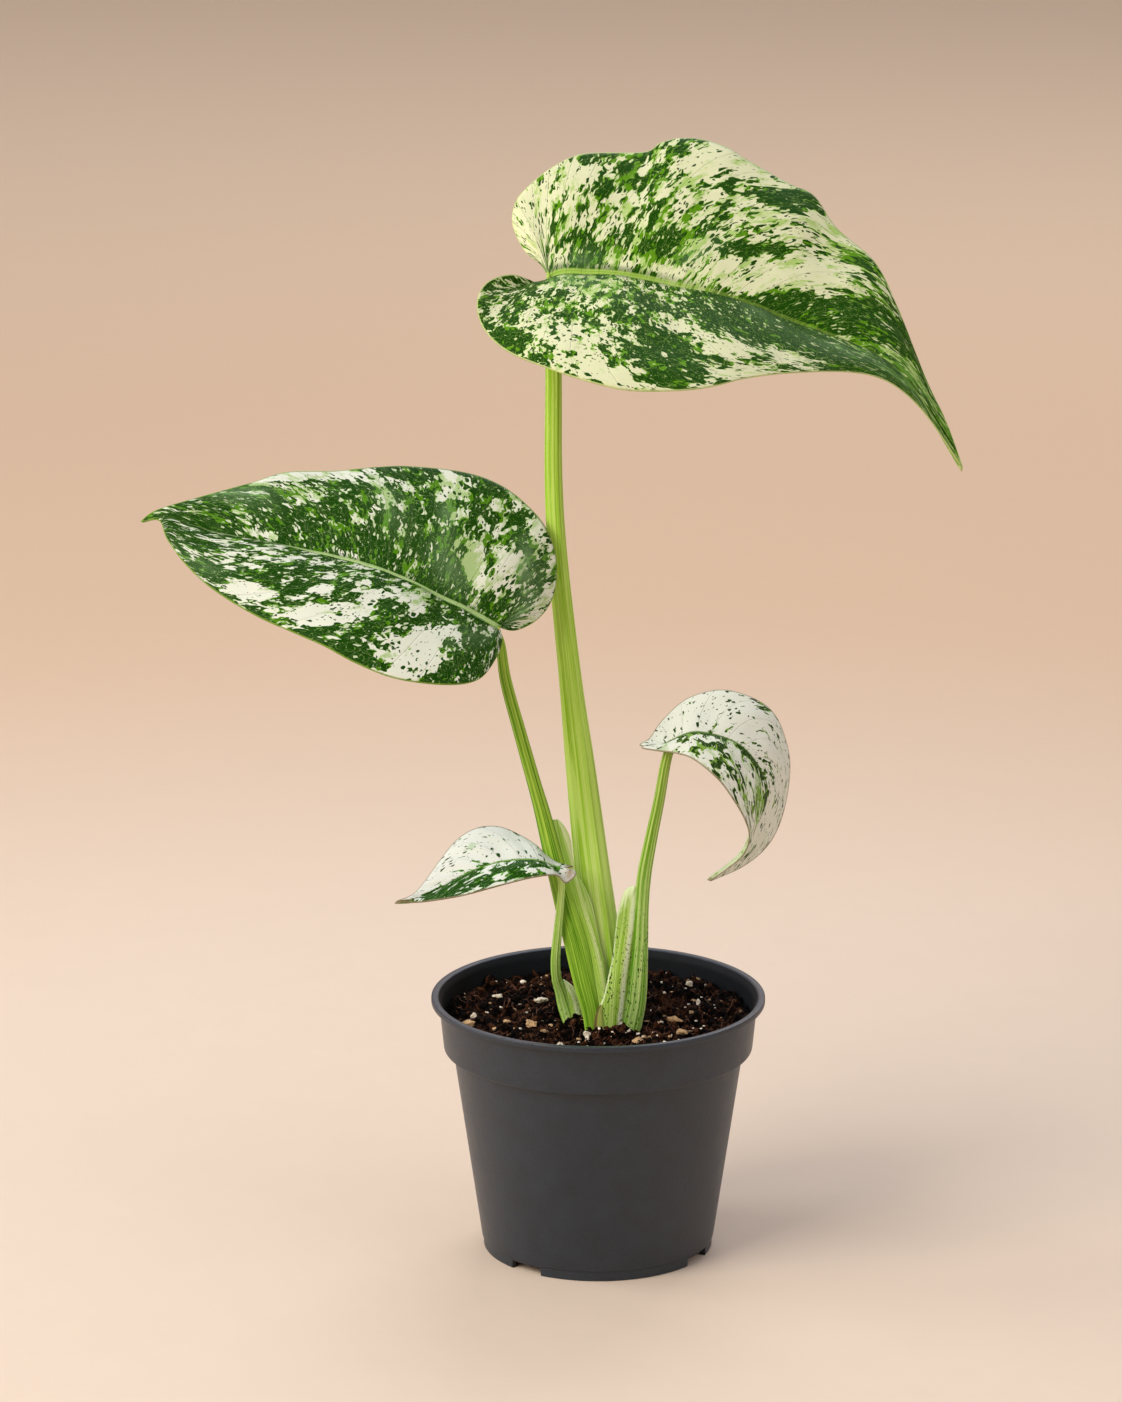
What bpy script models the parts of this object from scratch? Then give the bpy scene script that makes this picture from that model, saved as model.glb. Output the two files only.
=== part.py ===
"""A potted variegated philodendron: four leaves on a short root crown, potting soil and a nursery pot.

Lengths in this file are millimetres, and become metres where a mesh is made. +Z is up, +X is the
plant's right and -Y its front. The origin is the centre of the pot's foot, on the floor.
"""
import math

import bmesh
import bpy
import numpy as np
from mathutils.bvhtree import BVHTree

MM = 0.001
GAP = 0.3  # clearance kept between pieces that touch

# Pot
POT_HEIGHT = 94.0
RIM_RADIUS = 60.0
LIP_WIDTH = 2.4
LIP_DEPTH = 2.0
COLLAR_TOP_RADIUS = 57.2
COLLAR_BOTTOM_RADIUS = 55.5
COLLAR_BOTTOM = 74.8
FOOT_RADIUS = 41.4
BODY_FLARE = 0.145  # radius gained for each millimetre of height
WALL = 1.1
FOOT_HEIGHT = 3.2
PAD_RADIUS = 18.5
TURNS = 40
NOTCH_ANGLES = (-39, 60, 141, 240)  # degrees from the front, towards the right
NOTCH_WIDTH = 13.0
NOTCH_HEIGHT = 3.0
DRAIN_RADIUS = 4.5
DRAIN_CIRCLE = 32.5

# Soil and what lies on it
SOIL_LEVEL = 86.5
SOIL_SECTORS = 40
SOIL_RING = 6.0
STEM_FOOT = (3.5, -12.0)  # where the stems leave the soil
PERLITE = (  # x, y, radius
    (-4, -29, 2.2), (-14, -38, 1.8), (-27, 35, 1.6), (-21, 13, 1.9), (-45, -8, 1.5),
    (36, 5, 1.6), (33, 23, 1.7), (14, 30, 1.5), (-36, 18, 1.4), (24, -38, 1.5),
)
BARK = (  # x, y, length, width, turn in degrees
    (-47, -17, 7, 4, 20), (30, -24, 7, 4, 35), (27, -12, 6, 3, -30), (14, -36, 5, 3, 70), (-24, -12, 7, 3, 110),
)

# Stems: x, y, z, half width, half thickness, bend of the wings, wing share (0 round, 1 winged)
PETIOLE_TALL = (
    (-5, 5.4, 354.8, 1.4, 1.3, 0, 0), (-12, 5.6, 354.2, 1.9, 1.8, 0, 0), (-16.6, 6.2, 350.6, 2.4, 2.3, 0, 0),
    (-17, 5.4, 342, 2.6, 2.6, 0, 0), (-16, 4, 322, 2.8, 2.7, 0, 0), (-16, 3, 284, 3.05, 3.0, 0, 0),
    (-14.4, 1, 254, 3.4, 3.3, 0, 0), (-10, -1, 211, 4.0, 3.8, 0, 0), (-6.6, -3, 181, 5.1, 4.8, 0, 0),
    (-2.3, -6, 143, 6.2, 5.6, 0, 0), (0.5, -8, 120, 6.8, 6.0, 0, 0), (2.7, -10, 101, 6.8, 5.8, 0, 0),
    (3.5, -11, 90, 6.2, 5.4, 0, 0), (3.5, -11.5, 76, 5.6, 5.0, 0, 0),
)
PETIOLE_LEFT = (
    (-40.5, -25.4, 238.2, 1.1, 1.0, 0, 0), (-37, -25.2, 235.8, 1.4, 1.4, 0, 0), (-34.6, -24.6, 231, 1.6, 1.6, 0, 0),
    (-32.7, -23, 217, 2.0, 1.9, 0, 0), (-28, -20, 198, 2.2, 2.1, 0, 0), (-22.8, -17.5, 178, 2.5, 2.4, 0, 0),
    (-19, -15.5, 165, 2.8, 2.7, 0, 0), (-16.4, -15, 159, 5.0, 2.9, 0.8, 0.7), (-15.2, -14.4, 152, 5.8, 3.1, 2.0, 0.9),
    (-13.4, -14, 145, 6.0, 3.2, 2.8, 1), (-11.6, -13.8, 133, 6.8, 3.3, 4.2, 1), (-9, -14, 120, 8.0, 3.3, 4.8, 1),
    (-5.4, -14.5, 108, 8.0, 3.3, 4.6, 1),
    (-1.6, -15, 93, 6.8, 3.2, 4.2, 1), (0, -14.6, 76, 6.0, 3.0, 3.6, 1),
)
PETIOLE_RIGHT = (
    (28, -13.2, 191.4, 1.2, 1.1, 0, 0), (25.4, -13, 189.6, 1.6, 1.6, 0, 0), (23.6, -13.4, 184.4, 1.8, 1.8, 0, 0),
    (21.1, -14.5, 171, 2.0, 2.0, 0, 0), (18.5, -15, 157, 2.0, 2.0, 0, 0), (16.6, -15.5, 143, 2.3, 2.2, 0, 0),
    (16, -16, 136, 3.8, 2.5, 0.8, 0.6), (15, -16.5, 124, 6.0, 2.7, 2.6, 1), (14.2, -17, 112, 7.0, 2.8, 3.2, 1),
    (12.6, -17.5, 101, 7.5, 2.9, 3.8, 1), (10.4, -17.6, 90, 7.2, 2.9, 4.0, 1), (7.5, -15.5, 76, 6.0, 2.8, 3.6, 1),
)
PETIOLE_SMALL = (
    (-18, -22.6, 149.2, 0.8, 0.8, 0, 0), (-14.8, -22.2, 147, 1.1, 1.1, 0, 0), (-13.4, -22.4, 142.5, 1.3, 1.3, 0, 0),
    (-14.4, -19.4, 124, 1.4, 1.4, 0, 0), (-15.3, -13.6, 109, 1.9, 1.7, 0, 0), (-14, -8.6, 99, 2.8, 1.9, 0.6, 0.5),
    (-12, -6, 90, 3.8, 2.0, 1.2, 0.8), (-8, -6.5, 82, 3.2, 2.0, 0.6, 0.5), (-2.5, -9, 75, 2.2, 1.8, 0, 0),
)
BASAL_SCALE = (
    (0.6, -20.6, 97, 0.8, 0.5, 0, 0.4), (0.4, -21, 94.5, 1.8, 0.7, 0.4, 0.5), (0.4, -21.2, 90, 2.8, 0.9, 0.9, 0.5),
    (1.0, -20.8, 85, 3.0, 1.1, 1.2, 0.5), (1.6, -20, 80, 2.2, 1.1, 0.9, 0.5),
)
# No soil gets in between the stems where they crowd together
STEM_CLEFT = ((5.2, -16, 96, 2.6, 2.6, 0, 0), (5.2, -16, 77, 2.6, 2.6, 0, 0))
# The direction that each stem's back faces: degrees from the front, towards the right
FACING = {"petiole_tall": -20, "petiole_left": -53, "petiole_right": 37, "petiole_small": -24, "basal_scale": 0}

CROWN = ((3.5, -12, 78.6, 4.5), (3.5, -12, 76.5, 8.2), (3.5, -12, 70, 9.5), (3.5, -12, 62, 8.6), (3.5, -12, 54, 5.0))
ROOTS = 6
ROOT_REACH = (4.0, 14.0, 24.0, 31.0)
ROOT_DEPTH = (66.0, 60.0, 46.0, 22.0)
ROOT_RADII = (2.6, 2.2, 1.7, 0.9)

# Leaf blades: the midrib from the stalk to the tip, then the far and the near margin from stalk to tip
BLADE_THICKNESS = 0.6
BLADES = {
    "blade_tall": {
        "rib": ((-18, 5, 356), (7, 3, 356), (23, 1, 354), (45, -1, 349), (74, -3, 339), (91, -5, 332),
                (102, -7, 326), (113, -9, 314), (127, -12, 290)),
        "far": ((-18, 5, 356), (-24, 13, 363), (-30, 22, 373), (-27, 31, 382), (-19, 36, 386.5), (-5, 43, 392.5),
                (16, 46, 392), (22, 48, 395), (30, 50, 396.5), (38, 50, 395.5), (46, 48, 393), (52, 46, 389.5),
                (67, 42, 381.5), (76, 40, 377.5), (84, 33, 367), (97, 25, 356.5), (105, 15, 341.5), (114, 0, 320),
                (121, -7, 306), (127, -12, 290)),
        "near": ((-18, 5, 356), (-20.5, 3.7, 355), (-24, 2, 355), (-29, -1, 356.5), (-34, -4, 357.5),
                 (-39, -8, 356.5), (-42, -18, 350), (-39.5, -29, 343), (-33, -41, 338), (-17, -51, 334),
                 (0, -57, 330), (13, -58, 328), (34, -54, 328), (51, -43, 329.5), (69, -32, 329), (86, -22, 327),
                 (97, -18, 324), (106, -15, 318), (115, -13, 308), (127, -12, 290)),
        "crown": (0, -4, 6), "lobe": 0.2, "rows": 30,
    },
    "blade_left": {
        "rib": ((-35, -26, 237), (-45, -26, 243), (-56, -25, 248), (-71, -23, 255), (-87, -20, 260), (-105, -17, 263),
                (-120, -14, 265), (-136, -11, 268), (-152, -8, 272), (-161, -6, 270)),
        "far": ((-35, -26, 237), (-29, -22, 235), (-21, -16, 238), (-16, -11, 245), (-15, -7, 256), (-18, -4, 266),
                (-24, 1, 273), (-34, 6, 280), (-47, 10, 284), (-66, 11, 286), (-78, 10, 286), (-93, 8, 285),
                (-110, 6, 285), (-122, 3, 282), (-140, -2, 278), (-155, -5, 274), (-161, -6, 270)),
        "near": ((-35, -26, 237), (-34, -30, 233), (-36, -38, 229), (-42, -48, 224), (-53, -55, 224), (-70, -58, 227),
                 (-84, -56, 232), (-95, -52, 237), (-104, -48, 240), (-119, -41, 245), (-134, -32, 252),
                 (-144, -24, 259), (-151, -15, 266), (-154, -8, 271), (-161, -6, 270)),
        "crown": (0, -4, 6), "lobe": 0.17, "rows": 32,
    },
    "blade_right": {
        "rib": ((23, -14, 191), (29, -13.5, 194), (36, -13, 195), (47, -13, 192), (55, -13, 185), (59, -13, 177),
                (59, -13, 170), (56, -14, 162), (51, -14, 151), (39, -15, 141)),
        "far": ((23, -14, 191), (14.5, -12, 191), (18, -8, 192), (22, -2, 196), (29, 2, 202), (36, 4, 205),
                (45, 5, 206), (55, 5, 203), (62, 4, 198), (66, 2, 190), (68, 0, 179), (66, -2, 164),
                (61, -6, 153), (52, -11, 146), (39, -15, 141)),
        "near": ((23, -14, 191), (16, -15, 190), (21, -18, 190), (27, -21, 190), (33, -25, 189), (41, -29, 183.5),
                 (46, -29, 177), (51, -27, 168), (53, -23, 160), (51, -19, 152), (45, -17, 146), (39, -15, 141)),
        "crown": (1, -1, 2), "lobe": 0.12, "rows": 26,
    },
    "blade_small": {
        "rib": ((-14, -24, 149), (-20, -24, 151), (-25, -24, 152), (-34, -23, 151), (-43, -23, 148),
                (-52, -23, 143.5), (-61, -24, 138.5), (-70, -26, 137)),
        "far": ((-14, -24, 149), (-9, -21.5, 148.5), (-14.5, -20, 149.5), (-18, -17, 151), (-23, -13, 154.5),
                (-30, -9, 157.5), (-36, -7, 159), (-43, -7, 158.5), (-50, -9, 155), (-56, -14, 149),
                (-63, -20, 142), (-70, -26, 137)),
        "near": ((-14, -24, 149), (-8, -27, 148), (-11.5, -30, 145), (-15, -30.5, 148), (-23, -33, 148),
                 (-34, -34, 145.5), (-48, -32, 141), (-61, -28, 138), (-70, -26, 137)),
        "crown": (0, -1, 2), "lobe": 0.14, "rows": 22,
    },
}
BLADE_COLUMNS = 4


def clear_scene():
    """Remove every object that is already in the file."""
    for old in list(bpy.data.objects):
        bpy.data.objects.remove(old, do_unlink=True)


def make_material(name, colour, roughness):
    """A plain Principled material."""
    material = bpy.data.materials.new(name)
    material.use_nodes = True
    shader = material.node_tree.nodes["Principled BSDF"]
    shader.inputs["Base Color"].default_value = (*colour, 1)
    shader.inputs["Roughness"].default_value = roughness
    shader.inputs["Metallic"].default_value = 0
    material.diffuse_color = (*colour, 1)
    return material


def add_mesh(name, points, faces, material=None):
    """Make an object from points in millimetres, merging points that coincide."""
    mesh = bpy.data.meshes.new(name)
    mesh.from_pydata((np.asarray(points) * MM).tolist(), [], [list(face) for face in faces])
    shape = bmesh.new()
    shape.from_mesh(mesh)
    bmesh.ops.remove_doubles(shape, verts=shape.verts, dist=0.00001)
    bmesh.ops.recalc_face_normals(shape, faces=shape.faces)
    shape.to_mesh(mesh)
    shape.free()
    item = bpy.data.objects.new(name, mesh)
    bpy.context.scene.collection.objects.link(item)
    if material:
        mesh.materials.append(material)
    return item


def shade_round(item, angle=35):
    """Shade smooth, with creases sharper than angle kept."""
    item.data.shade_smooth()
    item.data.set_sharp_from_angle(angle=math.radians(angle))


def hide_guide(item):
    """Mark a cutter or guide, which isn't a piece of the plant."""
    item.hide_render = True
    item.display_type = "WIRE"


def add_boolean(item, other, operation="DIFFERENCE"):
    """Cut item with other, or join other to it."""
    step = item.modifiers.new(f"{operation.lower()}_{other.name}", "BOOLEAN")
    step.operation = operation
    step.solver = "EXACT"
    step.object = other


def polar(radius, degrees):
    """Plan position at an angle from the front (-Y), turning towards the right (+X)."""
    angle = math.radians(degrees)
    return radius * math.sin(angle), -radius * math.cos(angle)


def smooth_path(points, shares):
    """Catmull-Rom curve through the rows of points, read at shares (0 to 1) of its length."""
    knots = np.asarray(points, float)
    knots = np.vstack([2 * knots[:1] - knots[1:2], knots, 2 * knots[-1:] - knots[-2:-1]])
    step = np.linspace(0, 1, 16, endpoint=False)[:, None]
    runs = []
    for a, b, c, d in zip(knots, knots[1:], knots[2:], knots[3:]):
        bend = 2 * a - 5 * b + 4 * c - d
        runs.append(b + 0.5 * ((c - a) * step + bend * step**2 + (3 * b - a - 3 * c + d) * step**3))
    fine = np.vstack(runs + [knots[-2:-1]])
    travel = np.concatenate([[0], np.cumsum(np.linalg.norm(np.diff(fine[:, :3], axis=0), axis=1))])
    return np.stack([np.interp(np.asarray(shares) * travel[-1], travel, column) for column in fine.T], axis=1)


def unit(vectors):
    """Rows scaled to length one."""
    return vectors / np.linalg.norm(vectors, axis=-1, keepdims=True)


def ring_faces(rings, sides):
    """Quads between neighbouring rings, and a cap on each end."""
    faces = [range(sides - 1, -1, -1)]
    for ring in range(rings - 1):
        low = ring * sides
        for k in range(sides):
            after = (k + 1) % sides
            faces.append((low + k, low + after, low + sides + after, low + sides + k))
    faces.append(range((rings - 1) * sides, rings * sides))
    return faces


def stem_section(half_width, half_thickness, bend, wing, sides, grow):
    """A stem's section: an ellipse whose sides thin out into wings and bend back."""
    phi = np.arange(sides) * 2 * math.pi / sides
    across = half_width * np.sin(phi)
    taper = (1 - wing) + wing * np.cos(phi) ** 2
    depth = half_thickness * np.cos(phi) * taper - bend * np.sin(phi) ** 2
    ring = np.stack([across, depth], axis=1)
    along = np.roll(ring, -1, axis=0) - np.roll(ring, 1, axis=0)
    outward = unit(np.stack([-along[:, 1], along[:, 0]], axis=1))
    return ring + grow * outward


def add_stem(name, stations, facing, material=None, rings=20, sides=14, grow=0.0):
    """Carry a section along the stations, with its back turned to facing."""
    rows = smooth_path(stations, np.linspace(0, 1, rings))
    centre = rows[:, :3].copy()
    tangent = unit(np.gradient(centre, axis=0))
    centre[0] -= tangent[0] * grow
    centre[-1] += tangent[-1] * grow
    front = np.array([*polar(1, facing), 0.0])
    back = unit(front - (tangent @ front)[:, None] * tangent)
    side = np.cross(tangent, back)
    points = []
    for k, (width, thickness, bend, wing) in enumerate(rows[:, 3:]):
        ring = stem_section(width, thickness, bend, wing, sides, grow)
        points.append(centre[k] + ring[:, :1] * side[k] + ring[:, 1:] * back[k])
    item = add_mesh(name, np.vstack(points), ring_faces(rings, sides), material)
    shade_round(item)
    return item


def blade_point_grid(blade, margin):
    """Rows of points from the midrib to one margin.

    Row u starts on the midrib at R and ends on the margin at E. Near the stalk all rows start at the
    stalk, and fan out into the lobe. Between them the row is a curve through R, C and E, where C is
    the middle lifted towards crown: (1-v)^2 R + 2v(1-v) C + v^2 E.
    """
    u = np.linspace(0, 1, blade["rows"])
    start = smooth_path(blade["rib"], np.clip((u - blade["lobe"]) / (1 - blade["lobe"]), 0, 1))
    end = smooth_path(blade[margin], u)
    span = np.linalg.norm(end - start, axis=1, keepdims=True)
    middle = (start + end) / 2 + np.array(blade["crown"]) * span / span.max()
    v = np.linspace(0, 1, BLADE_COLUMNS + 1)[None, :, None]
    return (1 - v) ** 2 * start[:, None] + 2 * v * (1 - v) * middle[:, None] + v**2 * end[:, None]


def add_blade(name, blade, material):
    """A leaf blade: two surfaces that meet on the midrib, thickened."""
    rows, columns = blade["rows"], BLADE_COLUMNS
    far = blade_point_grid(blade, "far")[:, ::-1]
    near = blade_point_grid(blade, "near")[:, 1:]
    grid = np.concatenate([far, near], axis=1)
    across = 2 * columns + 1
    faces = []
    for row in range(rows - 1):
        for column in range(across - 1):
            corner = row * across + column
            faces.append((corner, corner + 1, corner + across + 1, corner + across))
    item = add_mesh(name, grid.reshape(-1, 3), faces, material)
    thicken = item.modifiers.new("thickness", "SOLIDIFY")
    thicken.thickness = BLADE_THICKNESS * MM
    thicken.offset = 0
    item.data.shade_smooth()
    return item


def body_radius(height):
    """Outer radius of the pot's tapered body."""
    return FOOT_RADIUS + BODY_FLARE * height


def pot_inside():
    """Section of the pot's inner wall, from the middle of the floor up to the lip."""
    step = COLLAR_BOTTOM + WALL
    collar = COLLAR_BOTTOM_RADIUS - WALL
    return [
        (0, WALL), (PAD_RADIUS - 0.5, WALL), (PAD_RADIUS + 6.5, FOOT_HEIGHT + WALL),
        (FOOT_RADIUS - 1.8, FOOT_HEIGHT + WALL), (FOOT_RADIUS - 0.4, FOOT_HEIGHT + 2.4),
        (body_radius(step) - WALL - 0.2, step - 0.8), (body_radius(step) - WALL + 0.5, step),
        (collar - 0.5, step + 0.1), (collar, step + 0.8), (COLLAR_TOP_RADIUS - WALL, POT_HEIGHT - 3),
        (COLLAR_TOP_RADIUS - WALL + 0.3, POT_HEIGHT - 1.6),
    ]


def pot_outside():
    """Section of the lip, the outer wall and the base, from the lip down to the middle of the base."""
    lip_inner = RIM_RADIUS - LIP_WIDTH
    under = POT_HEIGHT - LIP_DEPTH
    return [
        (lip_inner - 0.5, POT_HEIGHT - 0.5), (lip_inner, POT_HEIGHT), (RIM_RADIUS - 0.6, POT_HEIGHT),
        (RIM_RADIUS, POT_HEIGHT - 0.6), (RIM_RADIUS, under + 0.4), (RIM_RADIUS - 0.5, under),
        (COLLAR_TOP_RADIUS + 0.4, under - 0.1), (COLLAR_TOP_RADIUS, under - 0.6),
        (COLLAR_BOTTOM_RADIUS, COLLAR_BOTTOM + 0.9), (COLLAR_BOTTOM_RADIUS - 0.3, COLLAR_BOTTOM + 0.2),
        (COLLAR_BOTTOM_RADIUS - 1, COLLAR_BOTTOM), (body_radius(COLLAR_BOTTOM) + 0.5, COLLAR_BOTTOM - 0.1),
        (body_radius(COLLAR_BOTTOM) - 0.1, COLLAR_BOTTOM - 0.7), (body_radius(FOOT_HEIGHT + 0.6), FOOT_HEIGHT + 0.6),
        (FOOT_RADIUS + 0.1, FOOT_HEIGHT + 0.2), (FOOT_RADIUS, 0.5), (FOOT_RADIUS - 0.5, 0),
        (FOOT_RADIUS - 1.8, 0), (FOOT_RADIUS - 2, 0.4), (FOOT_RADIUS - 2.1, FOOT_HEIGHT),
        (PAD_RADIUS + 7, FOOT_HEIGHT), (PAD_RADIUS, 0), (0, 0),
    ]


def make_pot(material):
    """The nursery pot: a section turned about the pot's axis, with notches in its foot and drain holes."""
    section = pot_inside() + pot_outside()
    mesh = bpy.data.meshes.new("pot")
    edges = [(k, k + 1) for k in range(len(section) - 1)]
    mesh.from_pydata([(radius * MM, 0, height * MM) for radius, height in section], edges, [])
    pot = bpy.data.objects.new("pot", mesh)
    bpy.context.scene.collection.objects.link(pot)
    mesh.materials.append(material)
    turn = pot.modifiers.new("turn", "SCREW")
    turn.axis = "Z"
    turn.steps = TURNS
    turn.render_steps = TURNS
    turn.use_merge_vertices = True
    turn.merge_threshold = 0.00001
    turn.use_smooth_shade = True
    for number, angle in enumerate(NOTCH_ANGLES):
        notch = add_box(f"notch_{number}", (NOTCH_WIDTH, 8, 2 * NOTCH_HEIGHT), material)
        x, y = polar(FOOT_RADIUS, angle)
        notch.location = (x * MM, y * MM, 0)
        notch.rotation_euler.z = math.radians(angle)
        hide_guide(notch)
        add_boolean(pot, notch)
        drain = add_drain_cutter(number, angle)
        add_boolean(pot, drain)
    return pot


def add_drain_cutter(number, angle):
    """The cutter for one drain hole in the raised part of the base."""
    x, y = polar(DRAIN_CIRCLE, angle)
    top, bottom = FOOT_HEIGHT + WALL + 1, FOOT_HEIGHT - 1
    stations = ((x, y, top, DRAIN_RADIUS, DRAIN_RADIUS, 0, 0), (x, y, bottom, DRAIN_RADIUS, DRAIN_RADIUS, 0, 0))
    cutter = add_stem(f"drain_cutter_{number}", stations, 0, rings=2, sides=16)
    hide_guide(cutter)
    return cutter


def add_box(name, size, material=None):
    """A box centred on its object's origin."""
    x, y, z = (side / 2 for side in size)
    points = [(i * x, j * y, k * z) for i in (-1, 1) for j in (-1, 1) for k in (-1, 1)]
    faces = [(0, 1, 3, 2), (4, 6, 7, 5), (0, 4, 5, 1), (2, 3, 7, 6), (0, 2, 6, 4), (1, 5, 7, 3)]
    return add_mesh(name, points, faces, material)


def soil_height(x, y):
    """Height of the soil's surface: rolling lumps, a mound round the stems and a rise at the back right."""
    lumps = 1.1 * np.sin(0.21 * x + 0.7) * np.cos(0.24 * y - 0.4) + 0.8 * np.sin(0.33 * x - 0.19 * y + 2.1)
    crumbs = 0.5 * np.cos(0.45 * y + 0.28 * x)
    mound = 2.2 * np.exp(-((x - STEM_FOOT[0]) ** 2 + (y - STEM_FOOT[1]) ** 2) / (2 * 11**2))
    rise = 1.8 * np.exp(-((x - 28) ** 2 + (y - 26) ** 2) / (2 * 16**2))
    return SOIL_LEVEL + lumps + crumbs + mound + rise


def inset(outline, distance):
    """Move an outline in the plane sideways by distance, to its left."""
    points = np.asarray(outline, float)
    along = unit(np.diff(points, axis=0))
    normals = np.stack([-along[:, 1], along[:, 0]], axis=1)
    first, last = normals[:1], normals[-1:]
    bisector = unit(np.vstack([first, normals]) + np.vstack([normals, last]))
    stretch = (bisector * np.vstack([first, normals])).sum(axis=1, keepdims=True)
    return points + distance * bisector / stretch


def make_soil(material):
    """The root ball: it fills the pot GAP clear of the wall, and its top rolls."""
    wall = [tuple(point) for point in inset(pot_inside(), GAP) if point[1] < SOIL_LEVEL - 6]
    wall[0] = (0.0, wall[0][1])
    edge = COLLAR_TOP_RADIUS - WALL - GAP - 0.9
    angles = np.arange(SOIL_SECTORS) * 2 * math.pi / SOIL_SECTORS
    rings = []
    for radius in np.append(np.arange(0, edge - 4, SOIL_RING), edge):
        x, y = radius * np.cos(angles), radius * np.sin(angles)
        rings.append(np.stack([x, y, soil_height(x, y)], axis=1))
    for radius, height in reversed(wall):
        rings.append(np.stack([radius * np.cos(angles), radius * np.sin(angles), np.full(len(angles), height)], axis=1))
    faces = ring_faces(len(rings), SOIL_SECTORS)[1:-1]
    soil = add_mesh("soil", np.vstack(rings), faces, material)
    soil.data.shade_smooth()
    return soil


def root_stations(number):
    """One root's way from the crown outwards and down."""
    angle = 360 / ROOTS * number + 25
    rows = []
    for reach, depth, radius in zip(ROOT_REACH, ROOT_DEPTH, ROOT_RADII):
        x, y = polar(reach, angle)
        share = 1 - reach / ROOT_REACH[-1]
        rows.append((x + STEM_FOOT[0] * share, y + STEM_FOOT[1] * share, depth, radius, radius, 0, 0))
    return rows


def make_crown(name, material=None, grow=0.0):
    """The short stem below the soil, with its roots joined on."""
    stations = [(x, y, z, radius, radius, 0, 0) for x, y, z, radius in CROWN]
    crown = add_stem(name, stations, 0, material, rings=10, sides=16, grow=grow)
    for number in range(ROOTS):
        root = add_stem(f"{name}_root_{number}", root_stations(number), 0, material, rings=8, sides=8, grow=grow)
        hide_guide(root)
        add_boolean(crown, root, "UNION")
    return crown


def make_stems(materials):
    """The stalks and the basal scale, each cut clear of the crown and of the stems inside it."""
    crown_cutter = make_crown("crown_cutter", grow=GAP)
    hide_guide(crown_cutter)
    cutters = [crown_cutter]
    stems = {
        "petiole_tall": PETIOLE_TALL, "petiole_left": PETIOLE_LEFT, "petiole_right": PETIOLE_RIGHT,
        "petiole_small": PETIOLE_SMALL, "basal_scale": BASAL_SCALE,
    }
    for name, stations in stems.items():
        rings = 3 * len(stations) // 2 + 2
        stem = add_stem(name, stations, FACING[name], materials[name], rings=rings)
        for cutter in cutters:
            add_boolean(stem, cutter)
        cutter = add_stem(f"{name}_cutter", stations, FACING[name], rings=rings, grow=GAP)
        hide_guide(cutter)
        cutters.append(cutter)
    cleft = add_stem("stem_cleft", STEM_CLEFT, 0, rings=2, sides=8)
    hide_guide(cleft)
    return cutters + [cleft]


def lump(name, radius, seed, material):
    """An irregular grain: a small ball whose points are pushed in and out."""
    shape = bmesh.new()
    bmesh.ops.create_icosphere(shape, subdivisions=1, radius=radius * MM)
    push = np.random.default_rng(seed).uniform(0.78, 1.12, len(shape.verts))
    for vertex, factor in zip(shape.verts, push):
        vertex.co *= factor
        vertex.co.z *= 0.8
    mesh = bpy.data.meshes.new(name)
    shape.to_mesh(mesh)
    shape.free()
    mesh.materials.append(material)
    item = bpy.data.objects.new(name, mesh)
    bpy.context.scene.collection.objects.link(item)
    return item


def set_down(item, x, y, ground):
    """Lower a piece at x, y until it lies GAP above the ground."""
    lift = -1e9
    for vertex in item.data.vertices:
        here = item.rotation_euler.to_matrix() @ vertex.co
        hit = ground.ray_cast((x * MM + here.x, y * MM + here.y, 1), (0, 0, -1))[0]
        lift = max(lift, hit.z - here.z)
    item.location = (x * MM, y * MM, lift + GAP * MM)


def scatter(materials, ground):
    """Perlite grains and bark chips that lie on the soil."""
    for number, (x, y, radius) in enumerate(PERLITE, 1):
        grain = lump(f"perlite_{number:02d}", radius, number, materials["perlite"])
        set_down(grain, x, y, ground)
    for number, (x, y, length, width, turn) in enumerate(BARK, 1):
        chip = add_box(f"bark_chip_{number}", (length, width, 1.4), materials["bark"])
        ease = chip.modifiers.new("edges", "BEVEL")
        ease.width = 0.4 * MM
        ease.segments = 1
        chip.rotation_euler = (0, 0, math.radians(turn))
        set_down(chip, x, y, ground)


def make_materials():
    """The colours of the pieces."""
    green_stalk = (0.36, 0.50, 0.06)
    return {
        "pot": make_material("pot", (0.045, 0.047, 0.05), 0.55),
        "soil": make_material("soil", (0.022, 0.012, 0.008), 0.95),
        "crown": make_material("root_crown", (0.50, 0.42, 0.27), 0.8),
        "petiole_tall": make_material("petiole_tall", green_stalk, 0.45),
        "petiole_left": make_material("petiole_left", (0.22, 0.40, 0.04), 0.45),
        "petiole_right": make_material("petiole_right", (0.26, 0.43, 0.05), 0.45),
        "petiole_small": make_material("petiole_small", (0.30, 0.45, 0.08), 0.45),
        "basal_scale": make_material("basal_scale", (0.42, 0.34, 0.12), 0.7),
        "blade_tall": make_material("blade_tall", (0.35, 0.48, 0.20), 0.4),
        "blade_left": make_material("blade_left", (0.20, 0.36, 0.12), 0.4),
        "blade_right": make_material("blade_right", (0.70, 0.74, 0.60), 0.4),
        "blade_small": make_material("blade_small", (0.66, 0.72, 0.55), 0.4),
        "perlite": make_material("perlite", (0.80, 0.77, 0.70), 0.9),
        "bark": make_material("bark", (0.45, 0.27, 0.12), 0.85),
    }


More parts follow.
